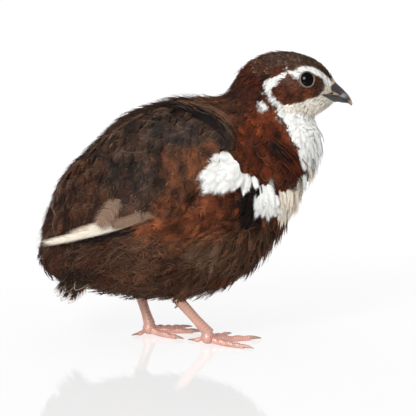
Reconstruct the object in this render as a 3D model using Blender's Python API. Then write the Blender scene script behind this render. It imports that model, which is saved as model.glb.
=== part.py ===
"""A coturnix quail standing, life size: body, wings, tail, head, bill, legs and toes as solids.

The bird faces +X and its right side is towards -Y. The floor is z = 0, and the origin lies on it
under the middle of the bird's box. Lengths are written in millimetres and turned to metres by MM.
"""

import math

import bmesh
import bpy
from mathutils import Vector

MM = 0.001
SEAM = 0.3 * MM          # the gap between two parts that touch
SIDES = 24               # points round one section of the body
RING_STEP = 6.4          # the widest space between two sections along the body, in mm
RIGHT, LEFT = -1, 1      # the sign of y on each side of the bird

# Sections of the plumage from the rump to the tip of the bill. Each is where the back line and the
# belly line are (x, z), the half width, and how far down the section is widest (0 back, 1 belly).
SECTIONS = {
    "rump_end": ((-70.8, 42.6), (-70.6, 40.4), 0.8, 0.5),
    "rump": ((-67.0, 59.4), (-66.0, 31.2), 12.0, 0.50),
    "vent": ((-60.4, 75.8), (-51.0, 25.2), 21.0, 0.52),
    "loin": ((-46.4, 90.6), (-33.2, 21.2), 27.5, 0.53),
    "back": ((-30.5, 104.6), (-15.6, 19.8), 31.0, 0.53),
    "belly": ((-14.0, 110.0), (3.0, 22.1), 32.0, 0.52),
    "keel": ((0.9, 111.8), (20.4, 29.3), 30.5, 0.50),
    "breast": ((10.6, 112.6), (34.8, 43.9), 27.0, 0.50),
    "crop": ((15.6, 116.2), (46.4, 62.8), 21.5, 0.52),
    "neck_base": ((18.4, 120.6), (54.8, 81.0), 16.5, 0.55),
    "neck": ((21.6, 124.8), (57.2, 93.1), 12.8, 0.56),
    "nape": ((26.7, 129.0), (54.7, 102.0), 10.8, 0.55),
    "ear": ((34.4, 132.2), (55.2, 103.6), 10.4, 0.52),
    "crown": ((42.6, 132.7), (57.0, 104.8), 10.2, 0.50),
    "brow": ((50.7, 130.8), (59.3, 106.4), 8.9, 0.50),
    "forehead": ((56.5, 127.9), (61.7, 108.0), 7.0, 0.52),
    "lore": ((61.1, 123.3), (63.4, 109.4), 4.9, 0.55),
    "bill_root": ((64.7, 118.4), (65.0, 109.9), 3.4, 0.58),
    "bill_middle": ((67.8, 115.3), (67.4, 109.5), 2.6, 0.55),
    "bill_hook": ((70.4, 112.5), (69.8, 109.2), 1.8, 0.50),
    "bill_tip": ((71.9, 109.0), (71.4, 108.1), 0.6, 0.50),
}
ROWS = list(SECTIONS.values())


def smooth(values, at):
    """A cubic through evenly numbered values, read at a fractional index."""
    last = len(values) - 1
    i = min(int(at), last - 1)
    f = at - i
    p1, p2 = values[i], values[i + 1]
    p0 = values[i - 1] if i > 0 else 2 * p1 - p2
    p3 = values[i + 2] if i + 2 <= last else 2 * p2 - p1
    return p1 + 0.5 * f * (p2 - p0 + f * (2 * p0 - 5 * p1 + 4 * p2 - p3 + f * (3 * (p1 - p2) + p3 - p0)))


def section(u, grow=0.0):
    """Back point, belly point, half width and widest level at u, counted in SECTIONS, in mm."""
    back = Vector((smooth([r[0][0] for r in ROWS], u), smooth([r[0][1] for r in ROWS], u)))
    belly = Vector((smooth([r[1][0] for r in ROWS], u), smooth([r[1][1] for r in ROWS], u)))
    half = smooth([r[2] for r in ROWS], u)
    level = smooth([r[3] for r in ROWS], u)
    down = (belly - back).normalized()
    return back - down * grow, belly + down * grow, half + grow, level


def body_point(u, turn, side, grow=0.0):
    """A point of the body's surface in metres: turn is 0 on the back and pi on the belly."""
    back, belly, half, level = section(u, grow)
    c = math.cos(turn)
    s = level * (1 - c) if c > 0 else level - (1 - level) * c
    p = back.lerp(belly, s)
    return Vector((p.x, side * half * math.sin(turn), p.y)) * MM


def body_normal(u, turn, side):
    """The outward direction of the body's surface."""
    du, dt = 0.02, 0.02
    along = body_point(u + du, turn, side) - body_point(u - du, turn, side)
    round_ = body_point(u, turn + dt, side) - body_point(u, turn - dt, side)
    return (along.cross(round_) * side).normalized()


def place(x, z):
    """(u, turn) of the surface point that a side view shows at x, z, in mm."""
    low, high = 0.02, len(ROWS) - 1.02
    for _ in range(40):
        mid = 0.5 * (low + high)
        back, belly, _, _ = section(mid)
        down = belly - back
        ahead = down.x * (z - back.y) - down.y * (x - back.x)
        low, high = (mid, high) if ahead > 0 else (low, mid)
    back, belly, _, level = section(low)
    down = belly - back
    s = min(max((Vector((x, z)) - back).dot(down) / down.length_squared, 0.002), 0.998)
    c = 1 - s / level if s < level else (level - s) / (1 - level)
    return low, math.acos(min(max(c, -1), 1))


def on_body(x, z, side, lift):
    """The point lift mm above the body's surface where a side view shows x, z."""
    u, turn = place(x, z)
    return body_point(u, turn, side) + body_normal(u, turn, side) * lift * MM


# Building helpers

def clear_scene():
    for obj in list(bpy.data.objects):
        bpy.data.objects.remove(obj)


def collection_named(name):
    made = bpy.data.collections.new(name)
    bpy.context.scene.collection.children.link(made)
    return made


def finish_named(name, colour, roughness):
    """A Principled material with a plain colour."""
    made = bpy.data.materials.new(name)
    made.use_nodes = True
    shader = made.node_tree.nodes["Principled BSDF"]
    shader.inputs["Base Color"].default_value = (*colour, 1)
    shader.inputs["Roughness"].default_value = roughness
    return made


def object_from(name, points, faces):
    mesh = bpy.data.meshes.new(name)
    mesh.from_pydata([tuple(p) for p in points], [], faces)
    mesh.validate()
    obj = bpy.data.objects.new(name, mesh)
    workshop.objects.link(obj)
    face_out(obj)
    return obj


def face_out(obj):
    """Triangulates a closed mesh and turns its faces outwards."""
    shape = bmesh.new()
    shape.from_mesh(obj.data)
    bmesh.ops.triangulate(shape, faces=shape.faces)
    bmesh.ops.recalc_face_normals(shape, faces=shape.faces)
    if shape.calc_volume(signed=True) < 0:
        bmesh.ops.reverse_faces(shape, faces=shape.faces)
    shape.to_mesh(obj.data)
    shape.free()


def ring_loft(name, rings):
    """A closed skin through rings of equal length, with a flat cap at each end."""
    count = len(rings[0])
    points = [p for ring in rings for p in ring]
    faces = []
    for i in range(len(rings) - 1):
        for j in range(count):
            k = (j + 1) % count
            faces.append((i * count + j, i * count + k, (i + 1) * count + k, (i + 1) * count + j))
    faces.append(tuple(range(count - 1, -1, -1)))
    faces.append(tuple((len(rings) - 1) * count + j for j in range(count)))
    return object_from(name, points, faces)


def plate(name, top, bottom):
    """A closed thin plate between two alike grids of points, split into triangles alike."""
    rows, columns = len(top), len(top[0])
    points = [p for row in top for p in row] + [p for row in bottom for p in row]
    under = rows * columns
    faces = []
    for i in range(rows - 1):
        for j in range(columns - 1):
            a = i * columns + j
            b, c, d = a + 1, a + columns + 1, a + columns
            for face in ((a, b, c), (a, c, d)):
                faces.append(face)
                faces.append(tuple(under + k for k in reversed(face)))
    border = [(0, j) for j in range(columns - 1)]
    border += [(i, columns - 1) for i in range(rows - 1)]
    border += [(rows - 1, j) for j in range(columns - 1, 0, -1)]
    border += [(i, 0) for i in range(rows - 1, 0, -1)]
    ends = [i * columns + j for i, j in border]
    for a, b in zip(ends, ends[1:] + ends[:1]):
        faces.append((b, a, under + a))
        faces.append((b, under + a, under + b))
    return object_from(name, points, faces)


def limb(name, points, radii, rounding=3):
    """A tapering tube through points in mm, from a curve whose caps are then welded."""
    curve = bpy.data.curves.new(name, "CURVE")
    curve.dimensions = "3D"
    curve.bevel_depth = MM
    curve.bevel_resolution = rounding
    curve.use_fill_caps = True
    spline = curve.splines.new("POLY")
    spline.points.add(len(points) - 1)
    for node, point, radius in zip(spline.points, points, radii):
        node.co = (*(Vector(point) * MM), 1)
        node.radius = radius
    guide = bpy.data.objects.new(name + "_guide", curve)
    workshop.objects.link(guide)
    bpy.context.view_layer.update()
    mesh = bpy.data.meshes.new_from_object(guide.evaluated_get(bpy.context.evaluated_depsgraph_get()))
    obj = bpy.data.objects.new(name, mesh)
    obj.matrix_world = guide.matrix_world
    workshop.objects.link(obj)
    bpy.data.objects.remove(guide)
    shape = bmesh.new()
    shape.from_mesh(mesh)
    bmesh.ops.remove_doubles(shape, verts=shape.verts, dist=0.01 * MM)
    shape.to_mesh(mesh)
    shape.free()
    face_out(obj)
    return obj


def ball(name, centre, radii, segments=20, rings=12):
    """An ellipsoid with its centre and radii in mm."""
    mesh = bpy.data.meshes.new(name)
    shape = bmesh.new()
    bmesh.ops.create_uvsphere(shape, u_segments=segments, v_segments=rings, radius=1)
    bmesh.ops.scale(shape, vec=Vector(radii) * MM, verts=shape.verts)
    bmesh.ops.translate(shape, vec=Vector(centre) * MM, verts=shape.verts)
    shape.to_mesh(mesh)
    shape.free()
    obj = bpy.data.objects.new(name, mesh)
    workshop.objects.link(obj)
    face_out(obj)
    return obj


def apply_modifiers(obj):
    bpy.context.view_layer.update()
    graph = bpy.context.evaluated_depsgraph_get()
    mesh = bpy.data.meshes.new_from_object(obj.evaluated_get(graph))
    obj.modifiers.clear()
    obj.data = mesh


def combine(obj, others, operation):
    """Joins the others to obj or cuts them from it, in one Boolean, and removes them."""
    group = bpy.data.collections.new(obj.name + "_pieces")
    bpy.context.scene.collection.children.link(group)
    for other in others:
        group.objects.link(other)
    step = obj.modifiers.new(operation.lower(), "BOOLEAN")
    step.operand_type = "COLLECTION"
    step.collection = group
    step.operation = operation
    step.solver = "MANIFOLD"
    apply_modifiers(obj)
    for other in others:
        bpy.data.objects.remove(other)
    bpy.data.collections.remove(group)
    keep_largest(obj)
    return obj


def join(obj, others):
    return combine(obj, others, "UNION")


def cut(obj, others):
    return combine(obj, others, "DIFFERENCE")


def keep_largest(obj):
    """Drops loose scraps and sealed hollows, so that one closed surface is left."""
    shape = bmesh.new()
    shape.from_mesh(obj.data)
    bmesh.ops.remove_doubles(shape, verts=shape.verts, dist=0.001 * MM)
    bmesh.ops.triangulate(shape, faces=shape.faces)
    waiting = set(shape.verts)
    islands = []
    while waiting:
        found, edge = set(), [waiting.pop()]
        while edge:
            vert = edge.pop()
            found.add(vert)
            for link in vert.link_edges:
                other = link.other_vert(vert)
                if other in waiting:
                    waiting.discard(other)
                    edge.append(other)
        islands.append(found)

    def reach(island):
        xs = [(min(v.co[i] for v in island), max(v.co[i] for v in island)) for i in range(3)]
        return math.prod(high - low for low, high in xs)

    islands.sort(key=reach, reverse=True)
    drop = [v for island in islands[1:] for v in island]
    bmesh.ops.delete(shape, geom=drop, context="VERTS")
    shape.to_mesh(obj.data)
    shape.free()


def copy_of(obj, name):
    made = bpy.data.objects.new(name, obj.data.copy())
    workshop.objects.link(made)
    return made


def trim(obj, planes):
    """Keeps what lies behind each plane, given as a point in metres and a normal, and caps the cut."""
    for point, normal in planes:
        shape = bmesh.new()
        shape.from_mesh(obj.data)
        geometry = shape.verts[:] + shape.edges[:] + shape.faces[:]
        bmesh.ops.bisect_plane(shape, geom=geometry, dist=1e-7, plane_co=point, plane_no=normal,
                               clear_outer=True)
        rim = [e for e in shape.edges if e.is_boundary]
        bmesh.ops.holes_fill(shape, edges=rim, sides=0)
        bmesh.ops.triangulate(shape, faces=shape.faces)
        shape.to_mesh(obj.data)
        shape.free()
        face_out(obj)
    return obj


def mirrored(obj, name):
    """The same piece on the bird's other side."""
    made = copy_of(obj, name)
    shape = bmesh.new()
    shape.from_mesh(made.data)
    bmesh.ops.scale(shape, vec=(1, -1, 1), verts=shape.verts)
    bmesh.ops.reverse_faces(shape, faces=shape.faces)
    shape.to_mesh(made.data)
    shape.free()
    return made


def keep(obj, name, material):
    """Makes a finished piece a part of the bird."""
    obj.name = name
    obj.data.name = name
    obj.data.materials.clear()
    obj.data.materials.append(material)
    for face in obj.data.polygons:
        face.material_index = 0
    workshop.objects.unlink(obj)
    bird.objects.link(obj)
    obj.data.shade_smooth()
    obj.data.set_sharp_from_angle(angle=math.radians(40))
    return obj


# Torso, neck, head and bill

NECK_AT = 8.0                       # where the torso ends, counted in SECTIONS
HEAD_AT = 11.25                     # where the neck ends
BILL_CUT = ((64.6, 119.2), (62.1, 108.5))   # where the bill's horn meets the head, above and below
MOUTH_LINE = ((57.6, 113.0), (62.4, 113.3), (65.6, 112.6), (68.4, 111.1), (70.2, 109.9), (70.6, 107.0))
EYE = (51.4, 121.3)                 # where a side view shows the middle of the eye
EYE_RADIUS = 3.9
EYE_DEPTH = 2.7                     # how far the eye's middle lies under the skin
LID_RADIUS, LID_THICKNESS = 3.15, 0.62
NOSTRIL = (65.3, 115.4)
NOSTRIL_SLIT = ((64.6, 115.0), (65.7, 114.2), (66.6, 113.9))


def body_rings(grow=0.0):
    rings = []
    for i in range(len(ROWS) - 1):
        backs = math.dist(ROWS[i][0], ROWS[i + 1][0])
        bellies = math.dist(ROWS[i][1], ROWS[i + 1][1])
        steps = max(1, math.ceil(max(backs, bellies) / RING_STEP))
        for k in range(steps):
            rings.append(i + k / steps)
    rings.append(len(ROWS) - 1)
    turn = 2 * math.pi / SIDES
    return [[body_point(u, j * turn, LEFT, grow) for j in range(SIDES)] for u in rings]


def section_plane(u, shift):
    """The plane of the section at u, moved shift metres ahead, facing ahead."""
    back, belly, _, _ = section(u)
    down = (belly - back).normalized()
    ahead = Vector((-down.y, 0, down.x))
    return Vector((back.x, 0, back.y)) * MM + ahead * shift, ahead


def bill_plane(shift):
    (top_x, top_z), (low_x, low_z) = BILL_CUT
    ahead = Vector((top_z - low_z, 0, low_x - top_x)).normalized()
    return Vector((top_x, 0, top_z)) * MM + ahead * shift, ahead


def flipped(plane):
    return plane[0], -plane[1]


def mouth_slab():
    """A thin curved wall along the line where the two halves of the bill meet."""
    half, reach = 0.5 * SEAM, 8 * MM
    line = [Vector((x, 0, z)) * MM for x, z in MOUTH_LINE]
    top, bottom = [], []
    for i, p in enumerate(line):
        along = (line[min(i + 1, len(line) - 1)] - line[max(i - 1, 0)]).normalized()
        up = Vector((-along.z, 0, along.x)) * half
        top.append([p + up + Vector((0, y, 0)) for y in (-reach, reach)])
        bottom.append([p - up + Vector((0, y, 0)) for y in (-reach, reach)])
    return plate("mouth_slab", top, bottom)


def groove(name, line, side, radius):
    """A round cutter that runs along a line on the body's surface."""
    points = [on_body(x, z, side, 0) / MM for x, z in line]
    return limb(name, points, [radius] * len(points), rounding=0)


def eye_spot(side):
    """The surface point over the eye, and the outward direction there."""
    u, turn = place(*EYE)
    return body_point(u, turn, side), body_normal(u, turn, side)


def eye_ball(name, side, radius):
    spot, out = eye_spot(side)
    centre = (spot - out * EYE_DEPTH * MM) / MM
    return ball(name, centre, (radius,) * 3, segments=18, rings=9)


def lid_ring(name, side):
    """The bare ring of lid round the eye."""
    spot, out = eye_spot(side)
    first = out.orthogonal().normalized()
    second = out.cross(first)
    points, faces, around, across = [], [], 18, 5
    for i in range(around):
        a = 2 * math.pi * i / around
        radial = first * math.cos(a) + second * math.sin(a)
        for j in range(across):
            b = 2 * math.pi * j / across
            r = LID_RADIUS + LID_THICKNESS * math.cos(b)
            points.append(spot + (radial * r + out * LID_THICKNESS * math.sin(b)) * MM)
    for i in range(around):
        for j in range(across):
            ring, turn = (i + 1) % around, (j + 1) % across
            faces.append((i * across + j, ring * across + j, ring * across + turn, i * across + turn))
    return object_from(name, points, faces)


def make_body():
    whole = ring_loft("whole", body_rings())
    half = 0.5 * SEAM
    torso = trim(copy_of(whole, "torso"), [section_plane(NECK_AT, -half)])
    neck = trim(copy_of(whole, "neck"), [flipped(section_plane(NECK_AT, half)), section_plane(HEAD_AT, -half)])
    head = trim(copy_of(whole, "head"), [flipped(section_plane(HEAD_AT, half)), bill_plane(-half)])
    bill = trim(copy_of(whole, "bill"), [flipped(bill_plane(half))])
    bpy.data.objects.remove(whole)
    return torso, neck, head, bill


def finish_head(head):
    gape = MOUTH_LINE[:3]
    join(head, [lid_ring("lid", side) for side in (RIGHT, LEFT)])
    sockets = [eye_ball("socket", side, EYE_RADIUS + SEAM / MM) for side in (RIGHT, LEFT)]
    grooves = [groove("gape", gape, side, 0.3) for side in (RIGHT, LEFT)]
    cut(head, sockets + grooves)
    keep(head, "head", plumage)
    for side, name in ((RIGHT, "eye_right"), (LEFT, "eye_left")):
        keep(eye_ball(name, side, EYE_RADIUS), name, dark_eye)


def finish_bill(bill):
    lower = copy_of(bill, "lower")
    for obj, sign in ((bill, 1), (lower, -1)):
        cut(obj, [mouth_slab(), mouth_block(sign)])
    covers = []
    for side in (RIGHT, LEFT):
        centre = on_body(*NOSTRIL, side, -0.25) / MM
        covers.append(ball("nostril_cover", centre, (1.15, 0.7, 0.85), segments=10, rings=6))
    join(bill, covers)
    trim(bill, [flipped(bill_plane(0.5 * SEAM))])
    cut(bill, [groove("nostril_slit", NOSTRIL_SLIT, side, 0.26) for side in (RIGHT, LEFT)])
    keep(bill, "bill_upper", horn)
    keep(lower, "bill_lower", horn)


def mouth_block(sign):
    """All that lies under the mouth line for sign 1, or over it for sign -1."""
    reach, far = 8 * MM, 12 * MM
    line = [Vector((x, 0, z)) * MM for x, z in MOUTH_LINE]
    line[0] -= Vector((far, 0, 0))
    edge, other = [], []
    for p in line:
        away = p - Vector((0, 0, sign * far))
        if sign < 0:
            away.x += far if p == line[-1] else 0
        edge.append([p + Vector((0, y, 0)) for y in (-reach, reach)])
        other.append([away + Vector((0, y, 0)) for y in (-reach, reach)])
    return plate("mouth_block", edge, other)


# Legs, toes and claws. A foot is its middle, the lean of its shank and four toes.

THIGH = ((6.5, 1.5, 13.5), (3.0, 0.6, 6.0), (0.5, 0.1, 1.0))    # steps up from the hock, in mm
THIGH_RADII = (7.0, 4.6, 2.8)
SHANK_RADII = (2.45, 2.3, 2.2, 2.45, 2.8)
FOOT_BLOCK = (3.3, 3.5, 3.1)        # half sizes of the end of the shank
FOOT_SINK = 0.35                    # how far a pad's curve would reach under the floor
TOE_SPREAD = 2.9                    # how far apart the roots of the front toes are
FEET = {
    "right": {"side": RIGHT, "foot": (7.0, -11.5), "hock": (-7.5, -12.8, 20.6), "heading": 18.0,
              "turns": {"inner": 37.0, "middle": 0.0, "outer": -47.0, "hind": 138.0}},
    "left": {"side": LEFT, "foot": (-20.4, 8.6), "hock": (-26.0, 10.6, 18.8), "heading": 3.0,
             "turns": {"inner": -40.0, "middle": 0.0, "outer": 24.0, "hind": 212.0}},
}
# Each toe: its length without the claw, its joints, its radius at the root and the claw's length.
TOES = {
    "inner": (14.0, 2, 1.60, 4.2),
    "middle": (19.4, 3, 1.75, 4.6),
    "outer": (16.4, 4, 1.60, 4.2),
    "hind": (6.4, 1, 1.30, 3.4),
}


def heading_of(degrees):
    return Vector((math.cos(math.radians(degrees)), math.sin(math.radians(degrees)), 0))


def foot_block(name, foot, grow=0.0):
    x, y = foot
    rx, ry, rz = (r + grow for r in FOOT_BLOCK)
    centre = (x - 1.0, y, FOOT_BLOCK[2] - FOOT_SINK)
    return ball(name, centre, (rx, ry, rz), segments=16, rings=10)


def toe_and_claw(leg, spec, toe, block_cutter):
    length, joints, radius, claw_length = TOES[toe]
    x, y = spec["foot"]
    main = heading_of(spec["heading"])
    inward = -spec["side"]
    across = Vector((-main.y, main.x, 0)) * inward
    aim = heading_of(spec["heading"] + spec["turns"][toe])
    shift = {"inner": TOE_SPREAD, "middle": 0.0, "outer": -TOE_SPREAD, "hind": 0.6}[toe]
    root = Vector((x, y, 0)) + across * shift + aim * 0.6
    if toe == "hind":
        root = Vector((x - 1.0, y, 0)) + across * shift
    count = 2 * joints + 3
    points, radii = [], []
    for i in range(count):
        f = i / (count - 1)
        knuckle = 0.13 * math.cos(2 * math.pi * joints * f)
        r = radius * (1 - 0.25 * f) + knuckle * (1 - 0.5 * f)
        lift = 3.0 * (1 - f) ** 1.5 if toe == "hind" else 0.9 * (1 - f) ** 3
        p = root + aim * (length * f) + Vector((0, 0, r - FOOT_SINK + lift))
        points.append(p)
        radii.append(r)
    radii[-1] *= 0.78
    piece = limb(toe, points, radii, rounding=2)
    trim(piece, [(Vector((0, 0, 0)), Vector((0, 0, -1)))])
    cut(piece, [block_cutter])
    keep(piece, f"toe_{toe}_{leg}", skin)

    tip = points[-1]
    claw_radius = 0.62 * radii[-1]
    steps = 6
    claw_points, claw_radii = [], []
    for i in range(steps):
        f = i / (steps - 1)
        drop = (tip.z - 0.45) * f ** 2.2
        claw_points.append(tip + aim * (SEAM / MM + claw_length * f) + Vector((0, 0, 0.18 - drop)))
        claw_radii.append(claw_radius * (1 - f) ** 0.75 + 0.12)
    claw = limb("claw", claw_points, claw_radii, rounding=1)
    keep(claw, f"claw_{toe}_{leg}", claw_horn)


def thigh_form(name, spec, grow=0.0):
    """The feathered thigh from inside the belly down to the hock."""
    line = [Vector(spec["hock"]) + Vector((a, spec["side"] * b, c)) for a, b, c in THIGH]
    line[0] += (line[0] - line[1]).normalized() * grow
    line[-1] += (line[-1] - line[-2]).normalized() * grow
    return limb(name, line, [r + grow for r in THIGH_RADII], rounding=4)


def make_leg(leg, torso):
    spec = FEET[leg]
    x, y = spec["foot"]
    hock, ankle = Vector(spec["hock"]), Vector((x - 1.2, y, 5.2))
    cut(torso, [thigh_form("thigh_socket", spec, 1.2 * SEAM / MM)])
    keep(thigh_form("thigh", spec), f"thigh_{leg}", plumage)

    shank_line = [hock.lerp(ankle, f) for f in (-0.06, 0.3, 0.6, 0.85, 1.05)]
    shank = limb("shank", shank_line, SHANK_RADII, rounding=4)
    cut(shank, [foot_block("shank_end", spec["foot"], SEAM / MM), thigh_form("thigh_end", spec, SEAM / MM)])
    keep(shank, f"shank_{leg}", skin)

    block = foot_block("block", spec["foot"])
    trim(block, [(Vector((0, 0, 0)), Vector((0, 0, -1)))])
    keep(block, f"foot_{leg}", skin)
    for toe in TOES:
        toe_and_claw(leg, spec, toe, foot_block("toe_end", spec["foot"], SEAM / MM))


# Tail: a short drooping fan of soft feathers on a root that sits in the rump.

TAIL_ROOT = (-47.5, 38.5)
TAIL_TIP = (-62.3, 17.8)
TAIL_FEATHERS = 10
TAIL_FAN = 26.0                     # degrees from the middle to the outermost feather
TAIL_WIDTH = 6.0
TAIL_THICKNESS = 0.6


def tail_axes():
    root = Vector((TAIL_ROOT[0], 0, TAIL_ROOT[1]))
    tip = Vector((TAIL_TIP[0], 0, TAIL_TIP[1]))
    along = (tip - root).normalized()
    return root, along, (tip - root).length, Vector((along.z, 0, -along.x))


def tail_core(name, grow=0.0):
    """The fleshy root with its coverts, flattening to the tips of the feathers."""
    root, along, length, over = tail_axes()
    rings = []
    for f, half, thick, rise in ((0.0, 6.0, 4.0, 0.0), (0.25, 7.5, 4.8, 0.0), (0.5, 8.6, 4.6, 0.2),
                                 (0.8, 8.6, 2.2, 0.4)):
        ring = []
        end = -grow if f == 0.0 else 0
        for k in range(16):
            a = 2 * math.pi * k / 16
            ring.append((root + along * (length * f + end) + Vector((0, 1, 0)) * math.cos(a) * (half + grow)
                         + over * (math.sin(a) * (thick + grow) + rise)) * MM)
        rings.append(ring)
    return ring_loft(name, rings)


def tail_feather(index):
    """One vane; the middle ones lie on top, and each one outwards lies lower and ends sooner."""
    root, along, length, over = tail_axes()
    side = index - (TAIL_FEATHERS - 1) / 2
    far = abs(side) / ((TAIL_FEATHERS - 1) / 2)
    turn = math.radians(TAIL_FAN * side / ((TAIL_FEATHERS - 1) / 2))
    spread = Vector((0, 1, 0))
    aim = along * math.cos(turn) + spread * math.sin(turn)
    wide = spread * math.cos(turn) - along * math.sin(turn)
    start = root + along * length * 0.3 + spread * side * 1.3 + over * (4.6 - 8.6 * far)
    reach = length * (0.72 - 0.26 * far)
    top, bottom = [], []
    for f, w in ((0.0, 0.7), (0.5, 1.0), (0.82, 0.86), (1.0, 0.35)):
        middle = start + aim * reach * f - over * (2.4 * f * f * (1 - 0.6 * far))
        half = 0.5 * TAIL_WIDTH * w
        points = [middle + wide * half * c - over * 0.4 * w * abs(c) for c in (-1, 0, 1)]
        top.append([p * MM for p in points])
        bottom.append([(p - over * TAIL_THICKNESS) * MM for p in points])
    return plate("tail_feather", top, bottom)


def make_tail(torso):
    cut(torso, [tail_core("tail_socket", 0.32)])
    tail = tail_core("tail")
    join(tail, [tail_feather(i) for i in range(TAIL_FEATHERS)])
    rump = ring_loft("rump", body_rings(0.35))
    cut(tail, [cut(rump, [tail_core("tail_way", 0.02)])])
    keep(tail, "tail", plumage)


# Wings. A folded wing is laid out between an upper and a lower edge that a side view shows.

WING_UPPER = ((18.5, 100.5), (10.5, 105.0), (-2.0, 107.6), (-14.0, 106.3), (-25.0, 102.6), (-36.0, 95.6),
              (-46.0, 86.4), (-55.0, 77.4), (-63.0, 66.0), (-70.2, 48.5))
WING_LOWER = ((18.0, 88.0), (8.0, 76.0), (-6.0, 66.0), (-18.0, 60.0), (-29.0, 57.0), (-40.0, 54.0),
              (-49.0, 51.0), (-57.0, 48.5), (-64.0, 46.4), (-70.2, 45.0))
WING_GAP = 0.35                     # mm between the wing and the body
WING_THICKNESS = 2.8                # the wing's arm and hand under its feathers


def wing_spot(a, b):
    """x and z in mm: a runs from the bend of the wing to its tip, b from its lower edge to its upper."""
    at = a * (len(WING_UPPER) - 1)
    low = [smooth([p[i] for p in WING_LOWER], at) for i in (0, 1)]
    high = [smooth([p[i] for p in WING_UPPER], at) for i in (0, 1)]
    return low[0] + (high[0] - low[0]) * b, low[1] + (high[1] - low[1]) * b


def wing_bend(a):
    """How wide the wing is at a, by its rounded front."""
    return math.sqrt(1 - (1 - min(a / 0.1, 1)) ** 2)


def pad_lift(a, b):
    """How far the wing's smooth form stands over the body, in mm."""
    return WING_GAP + 0.7 + WING_THICKNESS * (4 * b * (1 - b)) ** 0.45 * wing_bend(a) * (1 - 0.62 * a)


def wing_pad(side, inset, rows=12, columns=7):
    """The wing's smooth form, thickest in its middle, with its edges brought in by inset."""
    top, bottom = [], []
    for i in range(rows + 1):
        a = (1 - inset) * 0.5 * (1 - math.cos(math.pi * (i + 0.4) / (rows + 0.4)))
        upper, lower = [], []
        for j in range(columns + 1):
            b = 0.5 + wing_bend(a) * (0.5 - inset) * (2 * j / columns - 1)
            x, z = wing_spot(a, b)
            upper.append(on_body(x, z, side, pad_lift(a, b)))
            lower.append(on_body(x, z, side, 0.6 * WING_GAP))
        top.append(upper)
        bottom.append(lower)
    return plate("wing", top, bottom)


# Tiers of vanes, from the longest ones under the others to the smallest: how many there are, where
# the first starts and ends on the wing (a, b), where the last one does, how wide they are in mm, and
# how far their roots and tips stand over the wing's smooth form.
TIERS = {
    "primaries": (4, (0.46, 0.10), (1.0, 0.14), (0.44, 0.20), (0.92, 0.40), 6.2, -0.35, 0.1),
    "secondaries": (4, (0.42, 0.16), (0.80, 0.15), (0.36, 0.54), (0.82, 0.66), 8.6, -0.2, 0.4),
    "tertials": (3, (0.34, 0.58), (0.84, 0.74), (0.32, 0.80), (0.74, 0.86), 9.6, -0.1, 0.7),
    "greater_coverts": (5, (0.26, 0.14), (0.50, 0.13), (0.22, 0.66), (0.54, 0.72), 8.6, -0.1, 0.9),
    "median_coverts": (4, (0.13, 0.18), (0.34, 0.17), (0.09, 0.66), (0.36, 0.70), 9.4, 0.0, 1.1),
    "scapulars": (3, (0.12, 0.66), (0.46, 0.80), (0.12, 0.84), (0.46, 0.88), 8.4, 0.1, 1.3),
}
VANE = ((0.0, 0.62), (0.45, 0.96), (0.82, 0.84), (1.0, 0.30))    # along a vane, and its share of its width
VANE_THICKNESS = 0.6
VANE_TILT = 0.3                     # a vane's lower edge lies over the one below it


def vane(side, root, tip, width, root_lift, tip_lift):
    """One feather of the wing, bent to lie along it."""
    top, bottom = [], []
    for f, share in VANE:
        a, b = (root[i] + (tip[i] - root[i]) * f for i in (0, 1))
        (low_x, low_z), (high_x, high_z) = wing_spot(a, 0), wing_spot(a, 1)
        height = math.hypot(high_x - low_x, high_z - low_z)
        upper, lower = [], []
        for c in (-1, 0, 1):
            across = b + 0.5 * width * share * c / height
            lift = pad_lift(a, min(max(b, 0.04), 0.96)) + root_lift + (tip_lift - root_lift) * f
            lift += 0.12 * (1 - abs(c)) - VANE_TILT * c
            x, z = wing_spot(a, across)
            upper.append(on_body(x, z, side, lift))
            lower.append(on_body(x, z, side, lift - VANE_THICKNESS))
        top.append(upper)
        bottom.append(lower)
    return plate("vane", top, bottom)


def make_wing():
    wing = wing_pad(RIGHT, 0.05, rows=10, columns=5)
    vanes = []
    for count, root_1, tip_1, root_2, tip_2, width, root_lift, tip_lift in TIERS.values():
        for k in range(count):
            f = k / (count - 1)
            root = [root_1[i] + (root_2[i] - root_1[i]) * f for i in (0, 1)]
            tip = [tip_1[i] + (tip_2[i] - tip_1[i]) * f for i in (0, 1)]
            vanes.append(vane(RIGHT, root, tip, width, root_lift, tip_lift + 0.02 * k))
    join(wing, vanes)
    return cut(wing, [ring_loft("flank", body_rings(WING_GAP))])


def main():
    torso, neck, head, bill = make_body()
    for leg in FEET:
        make_leg(leg, torso)
    make_tail(torso)
    wing = make_wing()
    keep(mirrored(wing, "wing_left"), "wing_left", plumage)
    keep(wing, "wing_right", plumage)
    keep(torso, "torso", plumage)
    keep(neck, "neck", plumage)
    finish_head(head)
    finish_bill(bill)


clear_scene()
bird = collection_named("quail")
workshop = collection_named("workshop")
plumage = finish_named("plumage", (0.13, 0.05, 0.03), 0.8)
skin = finish_named("leg_skin", (0.62, 0.36, 0.30), 0.5)
horn = finish_named("bill_horn", (0.05, 0.05, 0.055), 0.35)
claw_horn = finish_named("claw_horn", (0.55, 0.42, 0.32), 0.4)
dark_eye = finish_named("dark_eye", (0.01, 0.008, 0.008), 0.05)
main()
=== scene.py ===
"""Looks of a coturnix quail standing, life size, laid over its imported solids.

The bird faces +X and its right side is towards -Y. Lengths are in millimetres and turned to metres
by MM. The body is one smooth surface of sections, the same ones that the solids are made from. The
wings stand out from it, and feathers grow on the whole of it, each bent to lie along it.
"""

import math

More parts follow.
